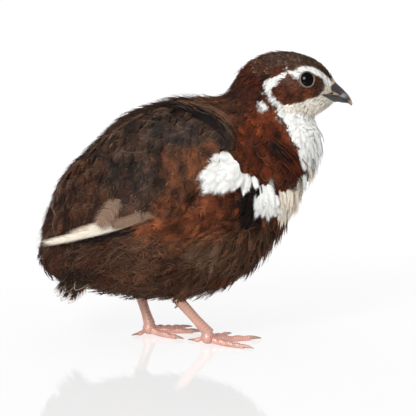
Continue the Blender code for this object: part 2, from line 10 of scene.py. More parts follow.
import bpy
import numpy as np
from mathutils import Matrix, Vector


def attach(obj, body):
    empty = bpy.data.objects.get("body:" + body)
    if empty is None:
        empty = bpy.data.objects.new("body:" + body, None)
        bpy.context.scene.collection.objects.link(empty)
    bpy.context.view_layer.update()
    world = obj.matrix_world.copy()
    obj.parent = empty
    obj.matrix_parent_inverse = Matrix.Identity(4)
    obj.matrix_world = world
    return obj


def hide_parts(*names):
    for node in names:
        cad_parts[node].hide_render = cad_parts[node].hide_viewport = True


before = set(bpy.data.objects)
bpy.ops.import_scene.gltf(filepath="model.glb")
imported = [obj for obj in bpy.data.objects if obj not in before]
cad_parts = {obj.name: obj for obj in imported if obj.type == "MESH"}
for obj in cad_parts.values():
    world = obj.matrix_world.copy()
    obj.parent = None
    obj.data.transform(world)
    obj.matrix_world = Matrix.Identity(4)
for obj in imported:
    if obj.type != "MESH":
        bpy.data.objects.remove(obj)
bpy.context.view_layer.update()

MM = 0.001
SIDES = {"right": -1, "left": 1}
chance = np.random.default_rng(7)


# Numbers and tables

def clamp(values):
    return np.clip(values, 0, 1)


def blend(a, b, f):
    """a where f is 0 and b where f is 1."""
    return a * (1 - f) + b * f


def hill(x):
    """1 in the middle, falling off smoothly to both sides."""
    return np.exp(-x ** 2)


def dot(a, b):
    return (a * b).sum(-1)


def unit(a):
    return a / np.maximum(np.linalg.norm(a, axis=-1, keepdims=True), 1e-12)


def grid(rows, columns):
    return np.meshgrid(rows, columns, indexing="ij")


def circle(count):
    """Evenly spaced angles, once round."""
    return np.arange(count) * 2 * math.pi / count


def linear(hex_colour):
    """An sRGB hex colour as linear red, green and blue."""
    parts = [int(hex_colour[i:i + 2], 16) / 255 for i in (1, 3, 5)]
    return np.array([p / 12.92 if p <= 0.04045 else ((p + 0.055) / 1.055) ** 2.4 for p in parts])


# Colours of the plumage, then of the bare parts
INK = {name: linear(value) for name, value in {
    "chestnut": "#5b270f", "deep_chestnut": "#401909", "bright_chestnut": "#6f3d20", "rufous": "#6e3b22",
    "umber": "#4d2c1b", "dark_umber": "#3c271c", "deep_umber": "#34190e", "crown": "#43322a",
    # The black ink is used only for painted shadow in the gaps of the plumage.
    "grey_brown": "#4c3123", "slate": "#2d2320", "black_brown": "#1d110d", "black": "#120a08",
    "grey": "#65503f", "drab": "#79614f", "buff": "#b59477", "sand": "#bfae99", "cream": "#dcd3c3",
    "white": "#ecece9",
    "pupil": "#020202", "iris": "#0c0604", "lid": "#68594e", "lid_rim": "#1c1614",
    # Of the bill's horn colours, the pale grey one is a painted highlight.
    "horn": "#272424", "painted_horn_highlight": "#808186", "horn_edge": "#a99079", "bill_fold": "#94806d",
    "bill_root": "#a8917c", "claw": "#b08b7c", "claw_tip": "#8e7160", "foot": "#cb9788", "shank": "#ab8371",
}.items()}


# Materials

def add_node(tree, kind, sockets=None, links=None, **settings):
    """Adds a shader node with its settings, its socket values and its links."""
    node = tree.nodes.new("ShaderNode" + kind)
    for name, value in settings.items():
        setattr(node, name, value)
    for name, value in (sockets or {}).items():
        node.inputs[name].default_value = value
    for name, (source, output) in (links or {}).items():
        tree.links.new(source.outputs[output], node.inputs[name])
    return node


def new_material(name, roughness, **values):
    """A material with its plain values. Where they hold no colour, the tint of each point gives it."""
    made = bpy.data.materials.new(name)
    made.use_nodes = True
    tree = made.node_tree
    shader = tree.nodes["Principled BSDF"]
    shader.inputs["Roughness"].default_value = roughness
    for socket, value in values.items():
        shader.inputs[socket.replace("_", " ")].default_value = value
    if "Base_Color" not in values:
        tint = add_node(tree, "VertexColor", layer_name="tint")
        tree.links.new(tint.outputs["Color"], shader.inputs["Base Color"])
    return made


# Skin that the feathers grow from, dull and painted dark as painted shade, so that the gaps between them look
# deep.
skin_material = new_material("bare_skin_under_feathers", 0.75)
# Keratin barbs with nearly no gloss of their own, so that the plumage looks soft and deep in colour.
feather_material = new_material("barbs_of_feather", 0.7, Specular_IOR_Level=0.08)
# A dark ball under a wet, clear layer, which gives one small sharp highlight on black.
eye_material = new_material("wet_eye_under_clear_cornea", 0.06, Specular_IOR_Level=0.0, Coat_Weight=0.15,
                            Coat_Roughness=0.02)
# Thin moist skin that lets some light through, so that the rim of the eye looks soft.
lid_material = new_material("bare_lid_skin", 0.5, Subsurface_Weight=0.15, Subsurface_Scale=0.0008)
# Horn worn smooth by pecking, with a silky light along its ridge.
bill_material = new_material("worn_horn_of_bill", 0.28, Specular_IOR_Level=0.6)
# Dry scaled skin over little flesh: pink light comes through it, and the scales shine faintly.
leg_material = new_material("scaled_leg_skin", 0.42, Subsurface_Weight=0.2, Subsurface_Scale=0.001)
# Horn polished by walking, with small clear highlights.
claw_material = new_material("polished_claw_horn", 0.3)


# Pieces

def new_piece(name, points, faces, material, tints=None, unwrap=None):
    """A mesh from arrays, with a colour and a place on the unwrap for each of its points."""
    faces = np.asarray(faces, dtype=np.int32)
    sides = faces.shape[1]
    mesh = bpy.data.meshes.new(name)
    mesh.vertices.add(len(points))
    mesh.vertices.foreach_set("co", np.asarray(points, dtype=np.float32).ravel())
    mesh.loops.add(faces.size)
    mesh.loops.foreach_set("vertex_index", faces.ravel())
    mesh.polygons.add(len(faces))
    mesh.polygons.foreach_set("loop_start", np.arange(0, faces.size, sides, dtype=np.int32))
    mesh.polygons.foreach_set("use_smooth", np.ones(len(faces), dtype=bool))
    mesh.update(calc_edges=True)
    if tints is not None:
        shown = np.concatenate([clamp(tints), np.ones((len(tints), 1))], axis=1)
        attribute = mesh.color_attributes.new("tint", "FLOAT_COLOR", "POINT")
        attribute.data.foreach_set("color", shown.astype(np.float32).ravel())
    if unwrap is not None:
        layer = mesh.uv_layers.new(name="OFBake")
        layer.data.foreach_set("uv", unwrap[faces.ravel()].astype(np.float32).ravel())
    mesh.materials.append(material)
    piece = bpy.data.objects.new(name, mesh)
    bpy.context.scene.collection.objects.link(piece)
    return piece


def on_bird(piece, slot, *nodes):
    """Makes the piece a part of the bird, in place of the solids that it stands for."""
    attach(piece, "root")
    if nodes:
        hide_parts(*nodes)


def grid_faces(rows, columns):
    """Four-sided faces between the points of a table that closes from its last column to its first."""
    i, j = [index.ravel() for index in grid(np.arange(rows - 1), np.arange(columns))]
    near, far, next_j = i * columns, (i + 1) * columns, (j + 1) % columns
    return np.stack([near + j, far + j, far + next_j, near + next_j], -1)


def capped(table):
    """Points and triangles of a closed tube."""
    rows, around = table.shape[:2]
    flat = np.concatenate([table.reshape(-1, 3), [table[0].mean(axis=0), table[-1].mean(axis=0)]])
    quads = grid_faces(rows, around)
    k = np.arange(around)
    ahead = (k + 1) % around
    last = (rows - 1) * around
    caps = [np.stack([np.full(around, len(flat) - 2), k, ahead], -1),
            np.stack([np.full(around, len(flat) - 1), last + ahead, last + k], -1)]
    return flat, np.concatenate([quads[:, [0, 1, 2]], quads[:, [0, 2, 3]], *caps])


def ribbon_faces(count, steps, base=0):
    """Triangles of ribbons that have two points at each step, the first of them numbered base."""
    first = (base + (np.arange(count) * 2 * steps)[:, None] + 2 * np.arange(steps - 1)).reshape(-1, 1)
    return np.concatenate([first + (0, 3, 1), first + (0, 2, 3)])


# The surface of the body, from the rump to the tip of the bill

# Each section is where the back line and the belly line are (x, z), the half width, and how far
# down the section is widest (0 back, 1 belly).
SECTIONS = {
    "rump_end": ((-70.8, 42.6), (-70.6, 40.4), 0.8, 0.5),
    "rump": ((-67.0, 59.4), (-66.0, 31.2), 12.0, 0.50),
    "vent": ((-60.4, 75.8), (-51.0, 25.2), 21.0, 0.52),
    "loin": ((-46.4, 90.6), (-33.2, 21.2), 27.5, 0.53),
    "back": ((-30.5, 104.6), (-15.6, 19.8), 31.0, 0.53),
    "belly": ((-14.0, 110.0), (3.0, 22.1), 32.0, 0.52),
    "keel": ((0.9, 111.8), (20.4, 29.3), 30.5, 0.50),
    "breast": ((10.6, 112.6), (34.8, 43.9), 27.0, 0.50),
    "crop": ((15.6, 116.2), (46.4, 62.8), 21.5, 0.52),
    "neck_base": ((18.4, 120.6), (54.8, 81.0), 16.5, 0.55),
    "neck": ((21.6, 124.8), (57.2, 93.1), 12.8, 0.56),
    "nape": ((26.7, 129.0), (54.7, 102.0), 10.8, 0.55),
    "ear": ((34.4, 132.2), (55.2, 103.6), 10.4, 0.52),
    "crown": ((42.6, 132.7), (57.0, 104.8), 10.2, 0.50),
    "brow": ((50.7, 130.8), (59.3, 106.4), 8.9, 0.50),
    "forehead": ((56.5, 127.9), (61.7, 108.0), 7.0, 0.52),
    "lore": ((61.1, 123.3), (63.4, 109.4), 4.9, 0.55),
    "bill_root": ((64.7, 118.4), (65.0, 109.9), 3.4, 0.58),
    "bill_middle": ((67.8, 115.3), (67.4, 109.5), 2.6, 0.55),
    "bill_hook": ((70.4, 112.5), (69.8, 109.2), 1.8, 0.50),
    "bill_tip": ((71.9, 109.0), (71.4, 108.1), 0.6, 0.50),
}
ROWS = np.array([(*back, *belly, half, level) for back, belly, half, level in SECTIONS.values()])
PER_SECTION = 14                    # table rows from one section to the next
ROUND = 224                         # table columns round the body


def smooth(rows, at):
    """A cubic through evenly numbered rows, read at fractional indices."""
    last = len(rows) - 1
    i = np.clip(np.floor(at).astype(int), 0, last - 1)
    f = (at - i)[..., None]
    p1, p2 = rows[i], rows[i + 1]
    p0 = np.where((i > 0)[..., None], rows[np.maximum(i - 1, 0)], 2 * p1 - p2)
    p3 = np.where((i + 2 <= last)[..., None], rows[np.minimum(i + 2, last)], 2 * p2 - p1)
    return p1 + 0.5 * f * (p2 - p0 + f * (2 * p0 - 5 * p1 + 4 * p2 - p3 + f * (3 * (p1 - p2) + p3 - p0)))


def body_points(u, turn):
    """Points in metres: u is counted in SECTIONS, and turn goes from the back down the left side."""
    row = smooth(ROWS, u)
    back, belly, half, level = row[..., 0:2], row[..., 2:4], row[..., 4], row[..., 5]
    c = np.cos(turn)
    s = np.where(c > 0, level * (1 - c), level - (1 - level) * c)[..., None]
    p = back + (belly - back) * s
    return np.stack([p[..., 0], half * np.sin(turn), p[..., 1]], axis=-1) * MM


def place(x, z):
    """(u, turn) of the left side's surface where a side view shows x, z in mm."""
    low, high = np.full(x.shape, 0.0), np.full(x.shape, len(ROWS) - 1.02)
    for _ in range(30):
        mid = 0.5 * (low + high)
        row = smooth(ROWS, mid)
        down_x, down_z = row[..., 2] - row[..., 0], row[..., 3] - row[..., 1]
        ahead = down_x * (z - row[..., 1]) - down_z * (x - row[..., 0]) > 0
        low, high = np.where(ahead, mid, low), np.where(ahead, high, mid)
    row = smooth(ROWS, low)
    down = row[..., 2:4] - row[..., 0:2]
    s = ((x - row[..., 0]) * down[..., 0] + (z - row[..., 1]) * down[..., 1]) / (down ** 2).sum(-1)
    s, level = np.clip(s, 0.002, 0.998), row[..., 5]
    return low, np.arccos(np.clip(np.where(s < level, 1 - s / level, (level - s) / (1 - level)), -1, 1))


class Sheet:
    """A surface kept as a table of points, which is read between them and a little beyond."""

    def __init__(self, points, closes):
        self.points, self.closes = points, closes
        self.by_p = np.gradient(points, axis=0)
        self.by_q = np.gradient(points, axis=1)
        if closes:
            self.by_q = 0.5 * (np.roll(points, -1, axis=1) - np.roll(points, 1, axis=1))
        self.normals = unit(np.cross(self.by_p, self.by_q))

    def read(self, p, q):
        """Points, normals and the steps along p and q, at fractional places in the table."""
        rows, columns = self.points.shape[:2]
        i = np.clip(np.floor(p).astype(int), 0, rows - 2)
        j = np.floor(q).astype(int)
        if not self.closes:
            j = np.clip(j, 0, columns - 2)
        f, g = (p - i)[..., None], (q - j)[..., None]
        j1 = (j + 1) % columns
        j = j % columns

        def between(table, a, b):
            return blend(blend(table[i, j], table[i, j1], b), blend(table[i + 1, j], table[i + 1, j1], b), a)

        return (between(self.points, f, g), unit(between(self.normals, clamp(f), clamp(g))),
                between(self.by_p, clamp(f), clamp(g)), between(self.by_q, clamp(f), clamp(g)))


def column(turn):
    """The column of the body's table at an angle."""
    return turn / (2 * math.pi) * ROUND


# The folded wings stand out from the body between these edges, as a side view shows them.
WING_UPPER = np.array([(18.5, 100.5), (10.5, 105.0), (-2.0, 107.6), (-14.0, 106.3), (-25.0, 102.6),
                       (-36.0, 95.6), (-46.0, 86.4), (-55.0, 77.4), (-63.0, 66.0), (-70.2, 48.5)])
WING_LOWER = np.array([(18.0, 88.0), (8.0, 76.0), (-6.0, 66.0), (-18.0, 60.0), (-29.0, 57.0),
                       (-40.0, 54.0), (-49.0, 51.0), (-57.0, 48.5), (-64.0, 46.4), (-70.2, 45.0)])
WING_THICKNESS = 2.8
WING_BEND = 0.1                     # how much of the wing's length its rounded front takes


def wing_spot(a, b):
    """x and z in mm: a runs from the bend of the wing to its tip, b from its lower edge to its upper."""
    at = a * (len(WING_UPPER) - 1)
    low, high = smooth(WING_LOWER, at), smooth(WING_UPPER, at)
    spot = low + (high - low) * b[..., None]
    return spot[..., 0], spot[..., 1]


def wing_bend(a):
    return np.sqrt(1 - (1 - np.minimum(a / WING_BEND, 1)) ** 2)


def wing_height(a, b):
    """How far the wing's smooth form stands over the body, in mm."""
    return 0.8 + WING_THICKNESS * (4 * b * (1 - b)) ** 0.45 * wing_bend(a) * (1 - 0.62 * a)


def blurred(height, passes):
    """A table of heights, evened out between neighbours."""
    for _ in range(passes):
        height = (height + np.roll(height, 1, 1) + np.roll(height, -1, 1)) / 3
        height[1:-1] = (height[:-2] + height[1:-1] + height[2:]) / 3
    return height


def wing_relief(table):
    """The height of the folded wings, in mm, at each entry of the body's table."""
    a, b = grid(np.linspace(0.004, 0.996, 500), np.linspace(0, 1, 320))
    wide = 0.5 + wing_bend(a) * (b - 0.5)
    u, turn = place(*wing_spot(a, wide))
    height = np.zeros(table.shape[:2])
    for way in (turn, 2 * math.pi - turn):
        i = np.clip(np.round(u * PER_SECTION).astype(int), 0, len(height) - 1)
        j = np.round(column(way)).astype(int) % ROUND
        np.maximum.at(height, (i, j), wing_height(a, wide))
    return blurred(height, 4)


section_rows = np.arange((len(SECTIONS) - 1) * PER_SECTION + 1) / PER_SECTION
bare_body = Sheet(body_points(*grid(section_rows, circle(ROUND))), True)
# The feathers of the body drape softly over the step at the edge of the wing.
drape = blurred(wing_relief(bare_body.points), 40)
plumage = Sheet(bare_body.points + bare_body.normals * drape[..., None] * MM, True)


# Camera, and where it shows each point of the bird

VIEW_RISE = math.radians(9.0)
VIEW_DISTANCE = 0.9
VIEW_AIM = np.array([0.00598, 0.0, 0.0610])
VIEW_WIDTH = 0.19136                # how much of the middle plane the picture is wide
AHEAD = np.array([0.0, math.cos(VIEW_RISE), -math.sin(VIEW_RISE)])
UPWARD = np.array([0.0, math.sin(VIEW_RISE), math.cos(VIEW_RISE)])


def as_seen(points):
    """Where the picture shows the points, in mm along and up, both sides read as the right one."""
    folded = points * np.array([1, 0, 1]) - np.abs(points) * np.array([0, 1, 0])
    from_eye = folded - (VIEW_AIM - AHEAD * VIEW_DISTANCE)
    nearness = VIEW_DISTANCE / dot(from_eye, AHEAD)
    along = VIEW_AIM[0] + from_eye[..., 0] * nearness
    up = dot(VIEW_AIM, UPWARD) + dot(from_eye, UPWARD) * nearness
    return along / MM, up / MM


def side_view(points):
    return points[..., 0] / MM, points[..., 2] / MM


def under_picture(along, up, side):
    """Table places on one side of the body that the picture shows at along, up in mm."""
    x, z = np.array(along, dtype=float), np.array(up, dtype=float)
    for _ in range(8):
        u, turn = place(x, z)
        q = column(turn if side > 0 else 2 * math.pi - turn)
        seen_along, seen_up = as_seen(plumage.read(u * PER_SECTION, q)[0])
        x, z = x + (along - seen_along), z + (up - seen_up)
    return u * PER_SECTION, q


# Markings

# The outlines here are in mm along and up, as they are seen from the side. The cheek has two patches.
CHEEK = ((40.9, 121.4), (42.8, 122.2), (44.9, 120.6), (47, 119.1), (47.6, 117.6), (48.6, 116.1),
    (51.3, 115.4), (54.2, 116.1), (55.8, 118.6), (56.4, 120.6), (58.5, 120), (59.7, 117.3), (59.4, 114.4),
    (57.9, 112.4), (56.4, 111.7), (54.6, 110.9), (52.4, 110.5), (50.6, 110.2), (49.7, 109.2), (47, 108.9),
    (44.9, 107.8), (43.1, 107.3), (40.9, 107.8), (38.5, 108.5), (37, 110.2), (35.5, 112.6), (35.2, 114.6),
    (37.5, 116), (39, 118.6))
# Each patch is a colour, how soft its edge is in mm, how strong it is, and its outline.
PATCHES = (
    ("chestnut", 5, 1, ((14, 140), (5, 108), (21, 76), (30, 74), (46, 66), (53, 79), (45, 91), (36, 105),
        (45, 140))),
    ("deep_chestnut", 3, 0.8, ((30.8, 132.9), (18.9, 128.4), (14.3, 113.6), (4.6, 104.4), (20.7, 100.7),
        (30.8, 106.3), (33.6, 117.3), (35.4, 123.7), (37.3, 128.3))),
    ("dark_umber", 5, 0.6, ((26, 131), (36, 131), (37, 124), (31, 119), (24, 122))),
    ("crown", 7, 0.9, ((67.5, 115.5), (60.4, 127), (50.6, 133), (41.4, 137), (32.8, 136), (31.3, 129.4),
        (34.5, 124), (41.3, 125.6), (42.9, 123.6), (46, 124), (50, 126.4), (56, 124.5), (60.4, 121))),
    ("umber", 4, 0.8, ((17, 114.5), (0.5, 113), (-20.7, 109), (-36, 101), (-22.5, 103.3), (-2.3, 105.2),
        (8.7, 99.7), (17, 92.5), (20.7, 96.1), (23.5, 104.4))),
    ("dark_umber", 2.5, 1, ((17, 91.5), (8.7, 100.7), (-2.3, 106.6), (-22.5, 106.3), (-34.5, 100.8),
        (-48, 92.6), (-56.9, 82.3), (-70.1, 66.8), (-76.6, 57), (-78.4, 44.6), (-47.4, 45.5), (-28.1, 51.1),
        (-18.9, 58.4), (-8.7, 65.8), (4.1, 71.3), (14.3, 82.3))),
    ("bright_chestnut", 5, 0.9, ((-18.1, 84.9), (-4.6, 87.8), (9.2, 88.9), (14.8, 80), (6.9, 70.8),
        (-6.9, 69.1), (-16.1, 74.8))),
    ("slate", 5, 0.9, ((-45.4, 76.7), (-35.4, 83.3), (-25.3, 81.6), (-20.5, 70.5), (-29.7, 62.9),
        (-41.9, 64.8))),
    ("slate", 4, 0.7, ((-28, 96), (-8, 99), (4, 93), (-6, 89), (-22, 90))),
    ("umber", 4, 0.9, ((-43.7, 83.3), (-60.5, 80.7), (-73.6, 65.8), (-77.3, 46.5), (-67.8, 46.5),
        (-48.3, 53.8), (-40.2, 65.8))),
    ("deep_umber", 6, 0.5, ((-48, 78), (-60, 79), (-75, 63), (-76, 49), (-60, 51), (-48, 60))),
    ("grey_brown", 4, 0.9, ((-78, 44), (-28, 50), (-12, 43), (20, 44), (44, 56), (50, 40), (20, 8),
        (-50, 8), (-80, 28))),
    ("umber", 4, 0.9, ((22, 52), (31, 48), (47, 57), (42, 40), (24, 26), (14, 34))),
    ("rufous", 3.5, 0.9, ((20.7, 76), (5.1, 71.4), (-6.9, 70.8), (-17, 68.4), (-20.6, 55), (-26, 50),
        (-24.7, 43.8), (-2.3, 41), (11.5, 43.8), (18.9, 52), (22.5, 63.9))),
    ("deep_chestnut", 3, 0.8, ((34, 90), (43, 82), (52, 80), (50, 72), (42, 66), (36, 70), (38, 80))),
    ("black_brown", 2, 0.85, ((34, 90), (40, 87.5), (46.5, 79.5), (44, 76), (38, 78), (33, 84))),
    # The two black patches are painted shadow: under the edge of the mantle, and in the gap between the flank
    # and the breast.
    ("black", 1.8, 0.75, ((-24, 106), (-10, 106.6), (0, 106), (9, 101.5), (18.4, 92.5), (19.4, 89),
        (14, 94.5), (6, 100.5), (-3, 103.6), (-12, 104.4))),
    ("black", 2, 1, ((19.5, 73), (26, 72), (25.3, 66.8), (28.5, 58.5), (31.8, 50.2), (27.4, 48.1),
        (22.4, 52.1), (19.4, 60.4))),
    ("grey", 3.5, 0.35, ((-8, 44), (6, 45), (10, 38), (0, 34), (-8, 37))),
    ("grey", 6, 0.2, ((0, 42), (20, 44), (42, 52), (40, 36), (20, 24), (0, 24))),
    ("deep_chestnut", 5, 0.6, ((25, 92), (36, 96), (46, 88), (50, 76), (40, 70), (28, 74))),
    ("deep_umber", 5, 0.8, ((-80, 60), (-62, 62), (-44, 46), (-38, 40), (-38, 26), (-60, 20), (-82, 30))),
    ("deep_chestnut", 4, 0.7, ((2, 66), (17, 68), (21, 56), (16, 47), (5, 50))),
    ("black_brown", 1.6, 0.9, ((-66.5, 28), (-62, 32), (-55, 34), (-49, 33.5), (-45, 29), (-50, 24),
        (-57, 19), (-63, 14), (-69, 19))),
    ("white", 1, 1, ((16, 82.5), (18, 79.5), (18.4, 75), (14, 71.5), (9.5, 72.5), (9, 75), (12.5, 80))),
    ("white", 0.9, 1, ((31.5, 71), (34.5, 69), (36, 64), (35, 59), (31, 59), (29.5, 64))),
    ("cream", 1.2, 0.85, ((45.5, 71.1), (50.8, 75.8), (57.4, 81), (57.6, 74.1), (52.1, 64.9), (46.5, 58),
        (41.9, 54.1), (40.2, 57), (44.4, 63.2), (46.4, 67.8))),
    ("white", 0.8, 1, ((68, 107), (62, 103.5), (60.5, 101), (60.5, 99), (64, 94), (68, 89), (68, 84),
        (64, 77), (60, 74), (53.5, 75.4), (53.1, 78.4), (51.2, 81.9), (50.5, 84.8), (47, 87.6),
        (44.9, 90.5), (42.7, 95), (42.2, 97.9), (39.8, 100.6), (37.7, 103.2), (37.7, 106.1), (39.8, 106.8),
        (44.9, 107.8), (49.9, 109.2), (54.6, 110.9), (59.2, 111.5))),
    ("cream", 1.5, 0.8, ((59.2, 112.1), (66, 110.4), (68, 107), (62, 103.5), (58, 102), (54.2, 101.4),
        (49.9, 102.5), (44.9, 103.6), (40.5, 104.7), (37.7, 106.1), (40.9, 107.3), (44.9, 107.6),
        (47, 108.8), (49.9, 109.1), (50.6, 110.1), (54.6, 110.8))),
    ("umber", 0.8, 1, CHEEK),
    ("chestnut", 2, 0.5, CHEEK),
    ("crown", 1.2, 0.8, ((39.5, 119.8), (41.3, 121.2), (43.4, 120.5), (45.6, 119.1), (44.9, 116.5),
        (42.7, 115.8), (40.5, 116.2), (39.1, 117.6))),
    ("dark_umber", 1, 0.8, ((56.4, 120.6), (58.5, 120), (59.7, 117.3), (59.4, 114.4), (57.4, 112.1),
        (54.2, 111.2), (54.9, 114.4), (56.1, 117.3))),
    ("black_brown", 1.4, 0.5, ((42.8, 113.7), (45.2, 113), (44.9, 110.1), (43.3, 109.4), (42.3, 111.2))),
    ("cream", 1, 1, ((59.2, 118.6), (61.8, 119.7), (63.7, 117.6), (64.1, 116.4), (63.2, 115.5),
        (62.8, 113.7), (59.2, 111.5), (56.4, 110.1), (57.1, 112.2), (59.2, 114.2), (59.7, 116.9))),
    ("white", 0.6, 1, ((41.8, 122.4), (39.8, 122.2), (37, 120.9), (33.4, 119.1), (31.1, 117.7),
        (30.7, 116.2), (31.4, 113.9), (32.9, 111.4), (34.1, 108.9), (35.5, 107.3), (37.7, 105.9),
        (39.5, 105.6), (40.9, 107.1), (39, 108.1), (37, 109.4), (35.7, 111.4), (34.8, 113.7), (35.4, 115.3),
        (37.9, 116.8), (38.4, 118.1), (39.8, 119.9), (41.4, 121))),
    ("white", 0.5, 1, ((41.6, 125), (42.8, 123.3), (44.9, 123), (47, 123.9), (48.8, 125.3), (51.3, 125.9),
        (54.2, 125.3), (57.1, 123.7), (59.7, 121.9), (61.8, 119.7), (63.6, 117.6), (62.1, 116.4),
        (60.5, 116.9), (59.5, 118.1), (58.7, 119.9), (56.5, 121.3), (54.2, 122.4), (51.7, 123),
        (49.5, 122.4), (48.2, 121.2), (47.5, 119.6), (46.7, 119.1), (45.6, 120.1), (45.1, 121.1),
        (43.4, 121.7), (42.1, 122.9))),
    ("white", 0.5, 1, ((29.3, 113.2), (31.1, 113.1), (31.1, 112.1), (29.5, 112.2))),
    ("white", 0.6, 0.9, ((28.5, 108.5), (30.8, 109.2), (31.9, 107.9), (33.4, 106.3), (32.5, 104.6),
        (30.8, 104.5), (29.2, 105.9))),
)


def line_distance(x, z, line):
    """The distance in mm from places of a side view to a line of points."""
    nearest = np.full(x.shape, 1e9)
    for (x0, z0), (x1, z1) in zip(line, line[1:]):
        run, rise = x1 - x0, z1 - z0
        f = clamp(((x - x0) * run + (z - z0) * rise) / (run * run + rise * rise))
        nearest = np.minimum(nearest, np.hypot(x - x0 - f * run, z - z0 - f * rise))
    return nearest


def inside(along, up, outline):
    """How far each place is inside the outline, in mm (negative outside)."""
    closed = (*outline, outline[0])
    within = np.zeros(along.shape, dtype=bool)
    for (x0, y0), (x1, y1) in zip(closed, closed[1:]):
        if y1 != y0:
            within ^= ((y0 > up) != (y1 > up)) & (along < x0 + (up - y0) * (x1 - x0) / (y1 - y0))
    nearest = line_distance(along, up, closed)
    return np.where(within, nearest, -nearest)


def seen_inside(points, outline):
    """The same for points of the bird, as the picture shows them."""
    return inside(*as_seen(points), outline)


def ripple(points, size, seed):
    """Smooth noise between about -1 and 1 that changes over the size given in mm."""
    shift = np.random.default_rng(seed)
    total = np.zeros(points.shape[:-1])
    for _ in range(7):
        way = unit(shift.normal(size=3)) * shift.uniform(0.7, 1.5) / (size * MM) * 2.2
        total += np.sin(points @ way + shift.uniform(0, 6.3))
    return total / 3.2


def markings(points):
    """The colour of the plumage at points of the bird, with edges that run a little unevenly."""
    wander = 0.3 + 1.1 * (points[..., 2] < 0.100)
    along, up = as_seen(points)
    along = along + ripple(points, 5.0, 11) * wander * 0.6
    up = up + ripple(points, 5.0, 12) * wander * 0.6
    colour = np.broadcast_to(INK["umber"], points.shape).copy()
    for ink, softness, strength, outline in PATCHES:
        cover = clamp(0.5 + inside(along, up, outline) / softness)
        colour = blend(colour, INK[ink], (cover * cover * (3 - 2 * cover) * strength)[..., None])
    return colour


# Skin

EYE = (50.7, 121.2)                 # where a side view shows the middle of the eye
EYE_RADIUS, EYE_DEPTH = 3.9, 2.7    # the depth is from the skin to the eye's middle
SKIN_END = 17.3                     # where the horn of the bill takes over, counted in SECTIONS
SKIN_PAINTED_SHADE = 0.55                   # painted shade: how much darker the skin is painted than the feathers on it
# How deep the skin lies under the tips of the feathers, in mm, at places counted in SECTIONS
COAT_PLACES = [0, 1, 7, 9.5, 11.2, 12.5, 15.0, 16.2, 16.9]
COAT_DEPTHS = [0.8, 2.2, 2.0, 0.9, 0.6, 0.6, 0.5, 0.4, 0.25]


def eye_spot(side):
    """The skin over the middle of the eye, and the way out from it."""
    u, turn = place(np.array([EYE[0]]), np.array([EYE[1]]))
    spot, out, _, _ = bare_body.read(u * PER_SECTION, column(turn if side > 0 else 2 * math.pi - turn))
    return spot[0], out[0]


EYES = {name: eye_spot(side) for name, side in SIDES.items()}


def eye_distance(points):
    """The distance in mm from the middle of the nearer eye's opening."""
    return np.minimum(*[np.linalg.norm(points - spot, axis=-1) for spot, _ in EYES.values()]) / MM


def make_skin():
    rows = int(SKIN_END * PER_SECTION) + 1
    u = np.arange(rows)[:, None] / PER_SECTION + np.zeros((1, ROUND))
    points = bare_body.points[:rows]
    depth = np.interp(u, COAT_PLACES, COAT_DEPTHS) * np.clip((eye_distance(points) - 2.6) / 2.4, 0.12, 1)
    flat, faces = capped(points - bare_body.normals[:rows] * depth[..., None] * MM)
    share = rows / len(bare_body.points)
    places = np.stack(grid(np.arange(rows) / len(bare_body.points), np.arange(ROUND) / ROUND), -1)
    unwrap = np.concatenate([places.reshape(-1, 2), [(0, 0.5), (share, 0.5)]])
    # The skin takes the markings painted darker, as painted shade in the gaps between the feathers.
    piece = new_piece("skin", flat, faces, skin_material, markings(flat) * SKIN_PAINTED_SHADE, unwrap)
    on_bird(piece, "body_feathers", "torso", "neck", "head")


make_skin()


# Feathers

# Which way the feathers lie: a place as a side view shows it, in mm, and the way along and up.
LIES = (
    (61, 122, -0.60, 0.80), (54, 129, -0.90, 0.40), (44, 133, -1.00, -0.05), (32, 131, -0.90, -0.40),
    (22, 123, -0.65, -0.75), (16, 113, -0.60, -0.80), (62, 116, -0.90, 0.15), (56, 122, -0.90, 0.45),
    (44, 120, -1.00, -0.15), (49, 112, -0.90, -0.40), (39, 114, -0.80, -0.60), (62, 109, -0.85, -0.40),
    (50, 105, -0.70, -0.70), (33, 108, -0.45, -0.90), (26, 104, -0.55, -0.85), (57, 96, 0.05, -1.00),
    (60, 86, 0.10, -1.00), (45, 95, -0.15, -1.00), (50, 80, 0.00, -1.00), (32, 86, -0.35, -0.95),
    (15, 80, -0.85, -0.55), (8, 74, -0.80, -0.60), (24, 75, -0.60, -0.80), (35, 65, -0.20, -1.00),
    (47, 66, -0.10, -1.00), (42, 52, -0.20, -1.00), (25, 55, -0.35, -0.95), (28, 38, -0.45, -0.90),
    (8, 28, -0.75, -0.70), (-20, 22, -0.90, -0.45), (-45, 24, -0.90, -0.45), (12, 62, -0.80, -0.60),
    (-5, 55, -0.90, -0.35), (-22, 46, -0.95, -0.30), (-50, 38, -0.75, -0.65), (-66, 36, -0.40, -0.90),
    (8, 100, -0.85, -0.50), (-12, 94, -0.90, -0.45), (-30, 82, -0.80, -0.60), (-48, 68, -0.70, -0.70),
    (-65, 52, -0.60, -0.80), (12, 111, -0.95, -0.30), (-8, 110, -1.00, -0.10), (-32, 103, -0.85, -0.50),
    (-52, 86, -0.65, -0.75), (-66, 64, -0.35, -0.95),
)
STATIONS = 6                        # places along a body feather where its shaft is worked out
LONG_STATIONS = 12                  # the same for the long feathers of the wings
RIM_STEPS, RIM_HALF = 15, 0.12      # points along a worn rim, and half its width in mm
PATCH_SIZE = 0.003                  # how wide a feather's patch on the unwrap is


def lie_of(points):
    """The way the plumage lies at points of the bird."""
    x, z = side_view(points)
    way = np.zeros(points.shape[:-1] + (2,))
    for at_x, at_z, along, up in LIES:
        weight = 1 / (((x - at_x) ** 2 + (z - at_z) ** 2) + 12) ** 2
        way += weight[..., None] * np.array([along, up])
    way = unit(way)
    return np.stack([way[..., 0], np.zeros(x.shape), way[..., 1]], -1)


def swung(along, up, angle):
    """Ways as a side view shows them, turned by the angle."""
    c, s = np.cos(angle), np.sin(angle)
    return np.stack([along * c - up * s, 0 * angle, along * s + up * c], -1)


